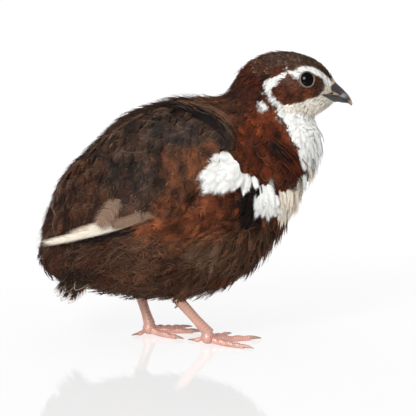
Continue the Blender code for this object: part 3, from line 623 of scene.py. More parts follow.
def swayed(sway):
    """The lie of the plumage with each feather turned a little by its own angle."""
    def lie(points):
        way = lie_of(points)
        return swung(way[:, 0], way[:, 2], sway)

    return lie


def walk(sheet, p, q, lie, length, stations=STATIONS):
    """Places and outward ways along shafts that start at p, q and follow the lie over the sheet."""
    step = (length * MM / (stations - 1))[:, None]
    places, outs = [], []
    for _ in range(stations):
        point, normal, by_p, by_q = sheet.read(p, q)
        places.append(point)
        outs.append(normal)
        way = unit(lie(point))
        way = way - normal * dot(way, normal)[:, None]
        way = unit(way - 0.12 * unit(by_p)) * step
        pp, pq, qq = dot(by_p, by_p), dot(by_p, by_q), dot(by_q, by_q)
        on_p, on_q = dot(way, by_p), dot(way, by_q)
        scale = np.maximum(pp * qq - pq * pq, 1e-16)
        p = p + np.clip((on_p * qq - on_q * pq) / scale, -6, 6)
        q = q + np.clip((on_q * pp - on_p * pq) / scale, -12, 12)
    return np.stack(places, 1), np.stack(outs, 1)


def paleness(ink):
    """0 for dark plumage and 1 for white."""
    return clamp((ink.min(axis=-1) - 0.25) / 0.3)


def feathers(name, sheet, p, q, lie, length, width, ink, heights, barbs, slot, nodes=(), loose=0.3,
             edge=None, edging=0.25, shaft=0.0, depth=0.5, point=4.0, arch=0.05, turned=0.0,
             mottle=0.0, fill=0.5, base_ink=None, painted=None, stations=STATIONS, lined=None):
    """One piece of feathers: every barb is a thin blade from the shaft that bends towards the tip.

    heights is how far the root and the tip stand over the sheet in mm, edge the colour of the rim
    and edging how much of it there is, depth how much painted shade darkens the hidden part towards
    the root, point how blunt the tip is, arch how much the vane is rounded across, turned a roll about
    the shaft, mottle how blotched the vane is, fill how wide the barbs are for their spacing, base_ink
    the colour of the inner half, and painted how the tone of each feather differs from the markings
    where its barbs end, for feathers that a marking runs across. lined is the colour of the thin worn
    line along the rim.
    """
    count = len(p)
    places, outs = walk(sheet, p, q, lie, length, stations)
    t = np.linspace(0, 1, stations)
    root, tip = [np.broadcast_to(np.asarray(h, dtype=float), count)[:, None] for h in heights]
    height = root + (tip - root) * t ** 0.75
    shafts = places + outs * height[..., None] * MM
    aims = unit(np.gradient(shafts, axis=1))
    across = unit(np.cross(outs, aims))
    outs = np.cross(aims, across)
    c, s = math.cos(turned), math.sin(turned)
    across, outs = across * c + outs * s, outs * c - across * s
    row = np.arange(count)[:, None, None]
    wide = width[:, None, None]

    def laid(on_t, on_x, on_z):
        """Points of the vane: on_t along the shaft, on_x beside it and on_z over it."""
        at = np.clip(on_t, 0, 1.25) * (stations - 1)
        k = np.clip(np.floor(at).astype(int), 0, stations - 2)
        f = (at - k)[..., None]
        spine = blend(shafts[row, k], shafts[row, k + 1], f)
        sideways = blend(across[row, k], across[row, k + 1], clamp(f))
        outwards = blend(outs[row, k], outs[row, k + 1], clamp(f))
        return spine + (sideways * on_x[..., None] + outwards * on_z[..., None]) * MM

    # Each barb is a blade of five points: two at the shaft, two on its way and one at its end.
    i = (np.arange(2 * barbs) // 2)[None, :]
    side = np.where(np.arange(2 * barbs) % 2 == 0, 1.0, -1.0)[None, :, None]
    spacing = 0.9 / barbs
    start = 0.06 + spacing * (i + chance.uniform(-0.25, 0.25, (count, 2 * barbs)))
    reach = (0.20 + 0.08 * chance.normal(size=start.shape) * loose) * (1 - 0.55 * start)
    end = start + reach
    outline = clamp(1 - clamp(end) ** point) ** 0.6 * clamp(0.5 + end * 1.4)
    spread = width[:, None] / 2 * outline * (1 + 0.45 * loose * chance.normal(size=start.shape))
    lift = chance.uniform(-0.10, 0.10, start.shape) * (0.4 + loose)
    thick = spacing * fill
    local_t = np.stack([start - thick, start + thick, start + reach * 0.45 + thick * 0.8,
                        start + reach * 0.45 - thick * 0.8, end + 0.04], -1)
    local_x = np.stack([spread * 0, spread * 0, spread * 0.6, spread * 0.6, spread], -1) * side
    wave = chance.normal(size=start.shape)[..., None] * loose * 0.12
    local_x = local_x + wave * np.array([0, 0, 0.6, 0.6, 1.6]) * wide * 0.3
    local_z = np.stack([lift * 0, lift * 0, lift, lift, lift * 2], -1) - arch * local_x ** 2
    points = laid(local_t, local_x, local_z)

    pale = paleness(ink)[:, None, None]
    # Painted shade: each barb is painted darker towards the root, where the feathers over it would shade it,
    # and pale feathers less so.
    shade = 1 - depth * (1 - 0.75 * pale) * (1 - clamp(local_t * 1.25)) ** 1.2
    shade = shade * (1 + 0.12 * (1 - 0.5 * pale) * chance.normal(size=start.shape)[..., None])
    inner_ink = (ink if base_ink is None else base_ink)[:, None, None, :]
    outer_ink = ink[:, None, None, :]
    if painted is not None:
        outer_ink = (markings(points[:, :, 4]) * painted[:, None, :])[:, :, None, :]
    outer = clamp((local_t - 0.3) / 0.35)[..., None]
    tints = blend(inner_ink, outer_ink, outer) * np.clip(shade, 0.1, 2)[..., None]
    if edge is not None:
        rim = clamp(np.abs(local_x) / np.maximum(wide / 2, 1e-6)) ** 2
        rim = np.maximum(rim, clamp(local_t) ** 8) * edging * np.array([0, 0, 0.2, 0.2, 1.0])
        tints = blend(tints, edge[:, None, None, :], rim[..., None])
    tints = tints * (1 + shaft * np.array([1, 1, 0.2, 0.2, 0]))[..., None]
    if mottle:
        spots = ripple(points, 2.4, 31) + 0.6 * ripple(points, 5.5, 32)
        tints = tints * np.clip(1 + mottle * (1 - 0.85 * pale) * spots, 0.25, 1.8)[..., None]

    home = np.stack([p / sheet.points.shape[0], q / sheet.points.shape[1]], -1)[:, None, None, :]

    def on_unwrap(on_t, on_x):
        return clamp(home + np.stack([on_t - 0.5, on_x / wide], -1) * PATCH_SIZE).reshape(-1, 2)

    unwrap = on_unwrap(local_t, local_x)
    points, tints = points.reshape(-1, 3), tints.reshape(-1, 3)
    first = (np.arange(count * 2 * barbs) * 5).reshape(count, 2 * barbs, 1)
    corners = ((0, 1, 2), (0, 2, 3), (3, 2, 4))
    blades = [first[:, 0::2].reshape(-1, 1) + corner for corner in corners]
    blades += [first[:, 1::2].reshape(-1, 1) + (a, c, b) for a, b, c in corners]
    if lined is not None:
        bend = np.linspace(-1, 1, RIM_STEPS)
        rim_end = 1 - 0.5 * np.abs(bend) ** 1.6
        rim_x = np.sign(bend) * (1 - rim_end ** point) ** 0.6 * 0.5
        rim_t = rim_end[None, :, None] + np.array([-1, 1]) * RIM_HALF / length[:, None, None]
        rim_x = wide * rim_x[None, :, None] * np.array([0.97, 1.0]) + 0 * rim_t
        wear_and_sheen = 0.15 + 1.05 * chance.uniform(size=(count, 1, 1, 1)) ** 1.6
        rim_tints = clamp(lined[:, None, None, :] * wear_and_sheen + 0 * rim_x[..., None])
        blades.append(ribbon_faces(count, RIM_STEPS, len(points)))
        points = np.concatenate([points, laid(rim_t, rim_x, 0.12 - arch * rim_x ** 2).reshape(-1, 3)])
        tints = np.concatenate([tints, rim_tints.reshape(-1, 3)])
        unwrap = np.concatenate([unwrap, on_unwrap(rim_t, rim_x)])
    on_bird(new_piece(name, points, np.concatenate(blades), feather_material, tints, unwrap), slot, *nodes)


def scatter(sheet, spacing, wanted):
    """Places on the sheet about the spacing in mm apart, where wanted says so of points and p."""
    cell = np.linalg.norm(np.cross(sheet.by_p, sheet.by_q), axis=-1)
    rows, columns = cell.shape
    count = int(7 * cell.sum() / (spacing * MM) ** 2)
    picked = chance.choice(cell.size, size=count, p=(cell / cell.sum()).ravel())
    p = picked // columns + chance.uniform(size=count)
    q = picked % columns + chance.uniform(size=count)
    if not sheet.closes:
        inner = (p < rows - 1) & (q < columns - 1)
        p, q = p[inner], q[inner]
    point = sheet.read(p, q)[0]
    chosen = wanted(point, p)
    p, q, point = p[chosen], q[chosen], point[chosen]
    for shift in (0.0, 0.5):
        box = np.floor(point / (spacing * MM) + shift).astype(np.int64) + 2000
        key = (box[:, 0] * 4096 + box[:, 1]) * 4096 + box[:, 2]
        _, first = np.unique(key, return_index=True)
        p, q, point = p[first], q[first], point[first]
    return p, q


def scatter_on_body(spacing, wanted):
    """The same on the body, where wanted is asked about points and their place in SECTIONS."""
    return scatter(plumage, spacing, lambda point, p: wanted(point, p / PER_SECTION))


def shades(points, spread, seed):
    """The colours of feathers whose visible parts are at points: markings, uneven in tone."""
    tone = 1 + spread * chance.normal(size=len(points)) + 0.34 * ripple(points, 8.0, seed)
    warm = 0.06 * ripple(points, 6.0, seed + 1)
    warmth = np.stack([1 + warm, np.ones(len(points)), 1 - warm], -1)
    plain = markings(points)
    pale = paleness(plain)
    tone = np.clip(blend(tone, 1, pale), 0.35, 1.45)
    return plain * tone[:, None] * blend(warmth, 1, pale[:, None])


def shown_at(sheet, p, q, lie, length, part=0.75):
    """The places of that part of the way along feathers."""
    return walk(sheet, p, q, lie, length * part)[0][:, -1]


# Outlines as the picture shows them: the tail, the pale lower edge of the wing, the white tuft that
# lies over the wing, the feathers over the tail's root, the dark crown, the white throat, the
# rufous flank and the bare horn of the bill.
TAIL_OUTLINE = ((-66, 29), (-57, 33), (-50, 32), (-47, 28), (-52, 20), (-62, 12), (-70, 20))
PALE_EDGE = ((-70, 42.5), (-57.2, 45.4), (-46, 46.4), (-37, 48.8), (-27.3, 51.6), (-20.7, 56.6),
    (-29.4, 61), (-33, 67.5), (-39, 65.5), (-47, 53.8), (-57.2, 48.6), (-70, 46.6))
SHOULDER = ((21.6, 79.5), (20.4, 83.5), (16.7, 86.1), (9.9, 84.3), (6.7, 78.7), (4.1, 74.2), (9.5, 67.4),
    (14, 68.5), (21.2, 72.2))
TAIL_COVERTS = ((-68, 29), (-63, 37), (-50, 40), (-42, 33), (-48, 26), (-60, 22))
CROWN = ((67.5, 117), (60.4, 128), (50.6, 134), (41.4, 138), (30, 136), (24, 128), (30, 121), (38, 124.5),
    (41.3, 126.6), (46, 125.5), (52, 127.6), (58, 124.8), (61.4, 121.5))
THROAT = ((70, 108), (38, 108), (43, 96), (48, 84), (22, 78), (22, 60), (44, 50), (70, 70))
FLANK = ((20.7, 76), (5.1, 71.4), (-6.9, 70.8), (-21, 66.4), (-26.1, 54.1), (-22.7, 43.8), (-2.3, 41),
    (11.5, 43.8), (18.9, 52), (22.5, 63.9))
HORN = ((64.6, 118.2), (67.4, 115.8), (69.8, 112.8), (71.9, 109.6), (73.6, 106), (69, 106.4), (65.5, 107.8),
    (62, 110), (60.2, 111.2), (58.4, 112), (58.6, 112.5), (61, 112.7), (63, 112.4), (64.6, 112.5),
    (63.6, 113.4), (62.7, 114.6), (62.6, 116.2))
BILL_CUT = ((64.6, 119.2), (62.1, 108.5))   # where the horn of the bill meets the head


def bill_side(points):
    """How far in mm the points are behind the line where the horn of the bill starts."""
    (x0, z0), (x1, z1) = BILL_CUT
    x, z = side_view(points)
    return ((z1 - z0) * (x - x0) - (x1 - x0) * (z - z0)) / math.hypot(x1 - x0, z1 - z0)


def given(size, root):
    """A size for each root, from a number or from a rule on the places of roots."""
    return size(root) if callable(size) else np.full(len(root), size)


def grow(name, spacing, wanted, length, width, heights, barbs, tone=0.16, edge=None, ruffle=1.0,
         paint=False, clear_of=(TAIL_OUTLINE, PALE_EDGE), line=None, **more):
    """A tract of body feathers, with the tips of all of them clear of some outlines."""
    p, q = scatter_on_body(spacing, wanted)
    shown = shown_at(plumage, p, q, lie_of, given(length, plumage.read(p, q)[0]))
    for outline in clear_of:
        clear = seen_inside(shown, outline) < -0.5
        p, q, shown = p[clear], q[clear], shown[clear]
    root = plumage.read(p, q)[0]
    ruffled = chance.normal(size=(3, len(p)))
    long = given(length, root) * (1 + 0.14 * ruffled[0])
    wide = given(width, root) * (1 + 0.12 * ruffled[1])
    shown = shown_at(plumage, p, q, lie_of, long)
    ink = shades(shown, tone, 40)
    loft = np.clip(long / 9, 0.05, 1) * ruffle * np.interp(root[:, 2], [0.06, 0.10], [1.0, 0.45])
    low, high = given(heights[0], root), given(heights[1], root)
    high = high + loft * (0.35 * ruffled[2] + 0.8 * ripple(root, 9.0, 21))
    sway = loft * (0.22 * chance.normal(size=len(p)) + 0.3 * ripple(root, 7.0, 23))
    feathers(name, plumage, p, q, swayed(sway), long, wide, ink, (low, high), barbs, "body_feathers",
             edge=None if edge is None else INK[edge] * 0.5 + ink * 0.6,
             lined=None if line is None else INK[line] * 0.55 + ink * 0.7,
             base_ink=markings(shown_at(plumage, p, q, lie_of, long, 0.3)) * 0.9,
             painted=ink / markings(shown) if paint else None, **more)


# Tufts that stand out of the plumage: the colour, the middle of their roots and how far these
# spread as the picture shows them, the way they point and how much they fan out, how long and
# wide each feather is, how high its root and tip stand over the body, and how many there are.
# All lengths are in mm.
TUFTS = {
    "shoulder_top": ("white", (17.6, 82.0), (1.4, 1.2), (-0.97, -0.18), 0.25, 10.0, 5.5, 3.2, 5.0, 14),
    "shoulder_low": ("white", (19.6, 77.0), (1.2, 1.8), (-0.60, -0.80), 0.20, 9.0, 5.0, 2.2, 4.2, 16),
    "shoulder": ("white", (18.6, 80.2), (1.6, 1.8), (-0.82, -0.57), 0.32, 16.5, 7.5, 3.2, 5.6, 24),
    "shoulder_fill": ("white", (15.0, 79.0), (2.4, 2.2), (-0.80, -0.60), 0.25, 9.5, 6.5, 3.2, 5.6, 12),
    "bridge": ("white", (24.4, 75.6), (2.8, 1.2), (-0.10, -1.00), 0.30, 7.5, 3.4, -0.4, 1.8, 16),
    "breast_patch": ("white", (32.2, 70.0), (1.2, 2.4), (-0.05, -1.0), 0.50, 12.5, 5.5, -0.2, 2.2, 36),
    "breast_patch_low": ("white", (33.8, 65.2), (2.6, 1.8), (-0.02, -1.0), 0.40, 7.5, 4.5, -0.4, 2.2, 24),
    "breast_patch_side": ("white", (38.2, 63.2), (1.8, 1.2), (0.04, -1.0), 0.20, 6.5, 3.4, -0.4, 2.2, 14),
    "breast_bar": ("white", (50.6, 75.6), (0.9, 1.4), (-0.02, -1.0), 0.10, 8.5, 2.6, -1.0, 2.2, 10),
    "breast_fringe": ("cream", (44.6, 67.2), (5.0, 3.0), (-0.04, -1.0), 0.16, 9.0, 2.2, -1.6, 2.4, 80),
    "breast_fringe_low": ("cream", (41.0, 61.0), (2.6, 2.0), (-0.10, -1.0), 0.16, 8.0, 2.0, -1.0, 2.2, 34),
    "breast_tips_high": ("umber", (40.5, 54.0), (2.4, 3.0), (-0.02, -1.0), 0.2, 9.0, 2.2, -1.2, 3.0, 30),
    "breast_tips_middle": ("umber", (35.0, 45.0), (2.6, 2.6), (-0.06, -1.0), 0.2, 9.5, 2.4, -1.2, 3.2, 30),
    "breast_tips_low": ("dark_umber", (27.5, 37.0), (3.0, 2.2), (-0.15, -1.0), 0.2, 9.5, 2.4, -1.2, 3.2, 30),
    "belly_tips": ("umber", (14.0, 29.5), (6.0, 1.6), (-0.3, -1.0), 0.2, 8.0, 2.4, -1.2, 3.0, 40),
    "throat_end": ("cream", (54.6, 79.6), (1.4, 2.4), (0.06, -1.0), 0.16, 8.5, 2.2, -1.0, 2.2, 24),
    "throat_edge": ("white", (57.0, 93.0), (2.8, 6.0), (0.16, -1.0), 0.15, 10.0, 3.6, -1.0, 2.4, 70),
    "throat_side": ("white", (52.6, 92.0), (3.4, 5.8), (0.02, -1.0), 0.15, 9.5, 5.0, -1.0, 1.0, 44),
    "throat_foot": ("white", (57.0, 84.0), (2.2, 3.5), (0.06, -1.0), 0.15, 9.5, 3.6, -1.0, 2.4, 34),
}


def make_tuft(name, side, ink, middle, spread, way, fan, long, wide, low, high, count):
    """One tuft; it says how many feathers found a place on the body."""
    over, up = chance.uniform(-1, 1, (2, count))
    wanted = np.array([middle[0] + spread[0] * over, middle[1] + spread[1] * up])
    p, q = under_picture(*wanted, side)
    on_it = np.hypot(*(np.array(as_seen(plumage.read(p, q)[0])) - wanted)) < 0.5
    p, q, over, up = p[on_it], q[on_it], over[on_it], up[on_it]
    count = len(p)
    sideways = over * -way[1] + up * way[0]
    aims = swung(way[0], way[1], fan * sideways + 0.07 * chance.normal(size=count))
    length = long * (1 + 0.10 * chance.normal(size=count)) * (1 - 0.22 * sideways ** 2)
    wear_and_sheen = 0.3 * chance.uniform(size=(count, 1)) ** 2 * (ink == "cream")
    uneven = 0.04 if INK[ink].min() > 0.3 else 0.25
    inks = blend(INK[ink], INK["buff"], wear_and_sheen) * (1 + uneven * chance.normal(size=(count, 1)))
    inks = np.clip(inks, 0.003, 1) * (0.9 if ink == "white" else 1.1)
    tip = high + (0.2 + 0.08 * high) * chance.normal(size=count)
    feathers(name, bare_body, p, q, lambda _: aims, length, np.full(count, wide), np.clip(inks, 0, 0.86),
             (low, tip), round(8 + 10 * wide), "body_feathers", loose=0.25, depth=0.12, point=2.2,
             arch=0.02, fill=0.75)
    return count


def ribbons(name, middle, across, tints, p, q):
    """One piece of thin ribbons, from the points along their middles and the half widths there."""
    count, steps = middle.shape[:2]
    points = np.stack([middle - across, middle + across], 2)
    home = np.stack([p / len(plumage.points), q / ROUND % 1], -1)[:, None, None, :]
    along = (np.linspace(0, 1, steps) - 0.5)[None, :, None]
    patch = np.stack(np.broadcast_arrays(along, np.array([-0.1, 0.1])), -1) * PATCH_SIZE
    tints = np.broadcast_to(tints, points.shape).reshape(-1, 3)
    piece = new_piece(name, points.reshape(-1, 3), ribbon_faces(count, steps), feather_material, tints,
                      clamp(home + patch).reshape(-1, 2))
    on_bird(piece, "body_feathers")


def wisps(name, spacing, wanted, long, high, ink, curl):
    """Fine loose barbs that lie over the feathers, each a thin curved ribbon."""
    p, q = scatter_on_body(spacing, wanted)
    count = len(p)
    length = long * (1 + 0.3 * chance.normal(size=count))
    places, outs = walk(plumage, p, q, swayed(0.5 * chance.normal(size=count)), length)
    t = np.linspace(0, 1, STATIONS)
    rise = -0.3 + (high + 0.5 * chance.normal(size=(count, 1))) * np.sin(t * 1.9)
    across = unit(np.cross(outs, unit(np.gradient(places, axis=1))))
    bend = chance.normal(size=(count, 1)) * curl * t ** 2 * length[:, None] * 0.35
    wave = bend + 0.35 * np.sin(t * 6 + chance.uniform(0, 6, (count, 1))) * curl
    middle = places + (outs * rise[..., None] + across * wave[..., None]) * MM
    half = (0.11 * (1 - 0.7 * t))[None, :, None] * across * MM
    tone = 1 + 0.3 * chance.normal(size=(count, 1, 1, 1))
    shown = (markings(places[:, 3]) * 0.6 + INK[ink] * 0.62)[:, None, None, :]
    ribbons(name, middle, half, np.clip(shown * tone, 0.004, 0.8), p, q)


# Loose strands, and black ribbons of painted shadow along gaps in the plumage, that the picture shows: ink,
# how many, how far they stray, length of each as a part of the line, half width, how high they lie, and the
# line, all in mm.
STRANDS = {
    # The black strands are painted shadow, laid along the gaps where one group of feathers overhangs another.
    "mantle_painted_shadow": ("black", 70, 0.9, 0.3, 0.3, 2.2, ((-24, 106), (-12.4, 106.6), (-5.1, 104.8), (6, 99.9),
        (11.5, 95.2), (15.6, 89.8))),
    "mantle_edge": ("grey", 40, 1.9, 0.26, 0.08, 2.6, ((-20, 109.2), (-11, 109.4), (-3, 107.6), (8, 102.9),
        (13.6, 98), (19, 89))),
    "chest_painted_shadow": ("black", 50, 1.6, 0.35, 0.22, 1.2, ((34, 92), (38, 88), (43, 83), (47, 78))),
    "chest_edge": ("chestnut", 30, 3, 0.3, 0.1, 1.6, ((34, 92), (38, 88), (44, 82), (49, 75))),
    "breast_painted_shadow": ("black", 90, 1.7, 0.3, 0.28, 1.3, ((26, 72), (26.6, 66), (24.6, 58), (21, 51))),
    "wing_low_painted_shadow": ("black", 40, 0.5, 0.22, 0.22, 2.6, ((-26, 51.2), (-37, 48.6), (-46, 46.4), (-56, 45))),
}


def make_strands(name, side, ink, count, stray, part, half, high, line):
    t = np.linspace(0, 1, STATIONS)
    along = t * part + chance.uniform(0, 1 - part, (count, 1))
    drift = stray * chance.normal(size=(count, 1)) + 0.5 * stray * chance.normal(size=(count, 1)) * along
    at = smooth(np.array(line), along * (len(line) - 1))
    aim = unit(np.gradient(at, axis=1))
    at = at + np.stack([-aim[..., 1], aim[..., 0]], -1) * drift[..., None]
    p, q = under_picture(at[..., 0], at[..., 1], side)
    places, outs, _, _ = plumage.read(p, q)
    rise = high * np.sin(0.35 + t * 2.2) + 0.25 * chance.normal(size=(count, 1))
    middle = places + outs * rise[..., None] * MM
    across = unit(np.cross(outs, unit(np.gradient(places, axis=1)))) * half * MM
    across = across * (1 - 0.9 * np.abs(2 * t - 1) ** 3)[None, :, None]
    tone = 1 + 0.25 * chance.normal(size=(count, 1, 1, 1))
    ribbons(name, middle, across, np.clip(INK[ink] * tone, 0.001, 0.9), p[:, 0], q[:, 0])


def on_head(point, u):
    return (u > 10.9) & (seen_inside(point, HORN) < -0.25) & (eye_distance(point) > 3.85) & (u < 17.9)


def on_neck(point, u):
    return (u > 8.6) & (u < 11.1) & (eye_distance(point) > 6)


def on_top(point, u):
    x, z = side_view(point)
    return (np.abs(point[..., 1]) < 16 * MM) & (u > 1.3) & (u < 13.0) & (z > 56) & (x < 12 + 30 * (u > 10))


def on_fringe(point, u):
    x, z = side_view(point)
    return (u > 3.5) & (u < 8.0) & (z < 66 - 0.2 * x) & (x > -5)


def on_belly(point, u):
    x, z = side_view(point)
    return (z < 50) & (x < 30) & (x > -70)


def by_bill(places, sizes):
    """A size in mm that changes with the distance in mm from the horn of the bill."""
    return lambda root: np.interp(bill_side(root), places, sizes)


def by_height(low, high):
    """A size in mm that changes from the breast up to the ear."""
    return lambda root: np.interp(root[:, 2], [0.085, 0.12], [low, high])


def breast_lift(root):
    return np.where((root[:, 2] < 0.062) & (root[:, 0] > 0), -0.2, 0.7)


grow("head_feathers", 0.8, on_head, by_bill([0, 3, 9, 20], [1.1, 1.8, 2.6, 3.8]),
     by_bill([0, 3, 9, 20], [0.55, 0.85, 1.2, 1.7]), (-0.5, by_bill([0, 4, 10], [0.05, 0.15, 0.35])), 5,
     tone=0.32, depth=0.5, loose=0.4, point=2.6, ruffle=0.4, mottle=0.4, fill=0.7, edge="buff",
     edging=0.3, paint=True)
grow("neck_feathers", 1.25, on_neck,
     lambda root: np.minimum(by_height(8.0, 4.2)(root), 0.6 + 0.36 * bill_side(root)), by_height(4.6, 2.0),
     (-0.9, 0.35), 11, tone=0.2, depth=0.6, loose=0.5, point=2.8, mottle=0.4, ruffle=0.6, fill=0.7,
     edge="grey", edging=0.3, paint=True)
grow("crown_flecks", 1.3, lambda point, u: on_head(point, u) & (seen_inside(point, CROWN) > 0), 3.0, 1.5,
     (-0.4, 0.6), 6, tone=0.6, depth=0.7, loose=0.35, point=2.2, ruffle=1.2, line="buff")
for name, low, high in (("breast_feathers", 6.2, 8.7), ("flank_feathers", 4.2, 6.3)):
    grow(name, 2.7, lambda point, u: (u > low) & (u <= high), 12.0, 7.4, (-1.9, breast_lift), 20,
         tone=0.24, depth=0.6, loose=0.55, point=2.6, mottle=0.35, fill=0.6, line="grey")
grow("rear_feathers", 2.3, lambda point, u: (u <= 4.3) & (u > 0.15), 12.0, 6.0, (-2.0, 0.6), 18,
     tone=0.2, depth=0.5, loose=0.8, point=2.4, mottle=0.22)
grow("breast_locks", 3.6, on_fringe, 11.0, 3.6, (-1.4, 2.6), 16, tone=0.5, depth=0.75, loose=0.4,
     point=1.8, ruffle=1.6, line="grey")
grow("belly_fluff", 4.0, on_belly, 13.0, 5.0, (-1.6, 2.2), 14, tone=0.22, depth=0.45, loose=1.3,
     point=2.0, ruffle=1.5)
grow("flank_plumes", 5.2, lambda point, u: seen_inside(point, FLANK) > 0, 17.0, 11.0, (-1.4, 1.6), 34,
     tone=0.12, depth=0.5, loose=0.3, point=3.0, mottle=0.25, fill=0.65)
grow("tail_coverts", 2.4, lambda point, u: seen_inside(point, TAIL_COVERTS) > 0, 7.5, 4.4, (-2.0, 1.0), 18,
     tone=0.25, depth=0.5, loose=0.4, point=2.6, ruffle=1.6, line="grey", clear_of=())
grow("back_locks", 2.6, lambda point, u: on_top(point, u) & (u < 8.6), 7.0, 2.8, (-1.0, 1.5), 12,
     tone=0.35, depth=0.6, loose=0.5, point=2.2, ruffle=1.2)
grow("nape_locks", 1.5, lambda point, u: on_top(point, u) & (u >= 8.6), 3.8, 1.3, (-0.5, 1.3), 7,
     tone=0.35, depth=0.6, loose=0.5, point=2.2, ruffle=2.0)
for name, row in STRANDS.items():
    for side_name, side in SIDES.items():
        make_strands("strands_" + name + "_" + side_name, side, *row)
chance = np.random.default_rng(3)   # its own start, so that the white tufts keep their shape
for name, (*row, count) in TUFTS.items():
    for side_name, side in SIDES.items():
        # The left side starts from as many feathers as the right side kept.
        count = make_tuft("tuft_" + name + "_" + side_name, side, *row, count)
wisps("belly_wisps", 1.7, lambda point, u: (side_view(point)[1] < 56) & (u < 7.5), 9.0, 0.9, "grey", 1.0)
wisps("mantle_wisps", 3.4, lambda point, u: (u > 6.5) & (u < 10) & (seen_inside(point, THROAT) < 0),
      6.0, 0.6, "umber", 0.4)
wisps("rump_wisps", 2.4, lambda point, u: (side_view(point)[0] < -30) & (side_view(point)[1] >= 50),
      6.0, 1.2, "grey", 1.4)


# Wings

A_STEPS, B_STEPS = 220, 90          # table entries along and across a folded wing
# Rows of long feathers from the hand to the shoulder: how many, where the first and the last
# have their root and tip as a and b, width, how far root and tip stand over the wing, and ink.
LONG_FEATHERS = {
    "primaries": (5, (0.50, 0.10), (0.99, 0.14), (0.46, 0.22), (0.94, 0.34), 6.5, -0.9, -0.3, "slate"),
    "secondaries": (6, (0.44, 0.18), (0.84, 0.20), (0.38, 0.50), (0.90, 0.55), 8.0, -0.7, 0.1, "dark_umber"),
    "tertials": (5, (0.36, 0.52), (0.86, 0.62), (0.32, 0.84), (0.78, 0.88), 9.0, -0.5, 0.5, "umber"),
}
# The pale vanes at the lower edge of the wing: ink, root and tip as the picture shows them, width,
# how high the root and the tip stand.
PALE_VANES = (
    ("cream", (-20.0, 56.6), (-68.5, 44.9), 4.4, 1.2, 6.2),
    ("sand", (-26.0, 57.0), (-58.0, 47.9), 5.4, 1.4, 5.0),
    ("drab", (-32.5, 67.0), (-43.0, 50.6), 10.0, 2.2, 6.4),
    ("cream", (-26.0, 57.6), (-50.0, 50.0), 5.0, 1.7, 4.4),
    ("drab", (-20.0, 61.0), (-39.0, 51.5), 7.0, 1.7, 4.4),
    ("drab", (-14.0, 59.0), (-39.0, 52.2), 5.5, 1.9, 4.6),
)


def wing_sheet(side):
    """The smooth outer form of a folded wing: p runs from its bend to its tip, q from low to high."""
    a, b = grid(np.linspace(0, 1, A_STEPS), np.linspace(0, 1, B_STEPS))
    wide = 0.5 + np.maximum(wing_bend(a), 0.12) * (b - 0.5)
    u, turn = place(*wing_spot(a, wide))
    points, normals, _, _ = bare_body.read(u * PER_SECTION, column(turn))
    points = points + normals * wing_height(np.maximum(a, 0.004), wide)[..., None] * MM
    if side > 0:
        return Sheet(points[:, ::-1], False)
    return Sheet(points * np.array([1, -1, 1]), False)


def wing_place(side, spots):
    """The table places of the wing's a and b."""
    a, b = spots.T
    return a * (A_STEPS - 1), (1 - b if side > 0 else b) * (B_STEPS - 1)


def make_long_feathers(name, sheet, side, count, root_1, tip_1, root_2, tip_2, width, low, high, ink):
    f = np.linspace(0, 1, count)[:, None]
    roots = blend(np.array(root_1), np.array(root_2), f)
    tips = blend(np.array(tip_1), np.array(tip_2), f)
    tips[:, 0] = tips[:, 0] + 0.015 * np.sin(5 * f[:, 0] + 1)
    p, q = wing_place(side, roots)
    start = sheet.read(p, q)[0]
    way = sheet.read(*wing_place(side, tips))[0] - start
    length = np.linalg.norm(way, axis=-1) / MM * 1.03
    inks = markings(start + way * 0.8) * 0.6 + INK[ink] * 0.4
    feathers(name, sheet, p, q, lambda _: way, length, np.full(count, width), inks,
             (low, high - 0.4 * f[:, 0]), 46, "wing_feathers", loose=0.12, edge=inks * 1.3, edging=0.5,
             shaft=-0.25, depth=0.25, point=7.0, arch=0.03, turned=0.08 * side, mottle=0.2,
             stations=LONG_STATIONS)


def make_coverts(name, sheet):
    """The small feathers that cover the wing, a quarter of them dark and a few chestnut."""
    p, q = scatter(sheet, 3.2, lambda point, p: p < 0.8 * A_STEPS)
    shown = shown_at(sheet, p, q, lie_of, np.full(len(p), 11.0))
    clear = (seen_inside(shown, PALE_EDGE) < 0) & (seen_inside(shown, SHOULDER) < -0.5)
    p, q, shown = p[clear], q[clear], shown[clear]
    ruffled = chance.normal(size=(3, len(p)))
    near_tip = p / A_STEPS
    long = (10.5 + 3.5 * near_tip) * (1 + 0.1 * ruffled[0])
    wide = (8.0 + 1.0 * near_tip) * (1 + 0.1 * ruffled[1])
    ink = shades(shown, 0.2, 60)
    sort = chance.uniform(size=len(p))[:, None]
    ruddy = ink * 0.5 + INK["bright_chestnut"] * 0.5
    ink = np.where(sort < 0.25, ink * 0.5, np.where(sort > 0.86, ruddy, ink))
    rim = ink * 0.5 + INK["buff"] * 0.6
    feathers(name + "_coverts", sheet, p, q, lie_of, long, wide, ink, (-1.6, 0.9 + 0.4 * ruffled[2]), 34,
             "wing_feathers", (name,), loose=0.16, edge=rim, edging=0.3, lined=rim, depth=0.5, point=3.6,
             arch=0.05, mottle=0.6, fill=0.7,
             base_ink=markings(shown_at(sheet, p, q, lie_of, long, 0.3)) * 0.8)


def body_spot(side, spot):
    return under_picture(*np.array(spot)[:, None], side)


def make_pale_vane(name, side, ink, root, tip, width, low, high):
    p, q = body_spot(side, root)
    start = bare_body.read(p, q)[0]
    end = bare_body.read(*body_spot(side, tip))[0]
    beyond = end + 0.5 * (end - start)

    def aim(point):
        return beyond - point

    # The way over the round body is longer than the straight one, so the length is tried out.
    tries = np.linalg.norm(end - start) / MM * np.linspace(0.95, 1.2, 19)
    reached, _ = walk(bare_body, p + 0 * tries, q + 0 * tries, aim, tries, LONG_STATIONS)
    length = tries[[np.linalg.norm(end - reached[:, -1], axis=-1).argmin()]]
    feathers(name, bare_body, p, q, aim, length, np.array([width]), INK[ink][None, :],
             (low, high), 90, "wing_feathers", loose=0.08, edge=INK["umber"][None, :], edging=0.15,
             shaft=-0.15, depth=0.2, point=8.0, arch=0.04, fill=0.7, stations=LONG_STATIONS)


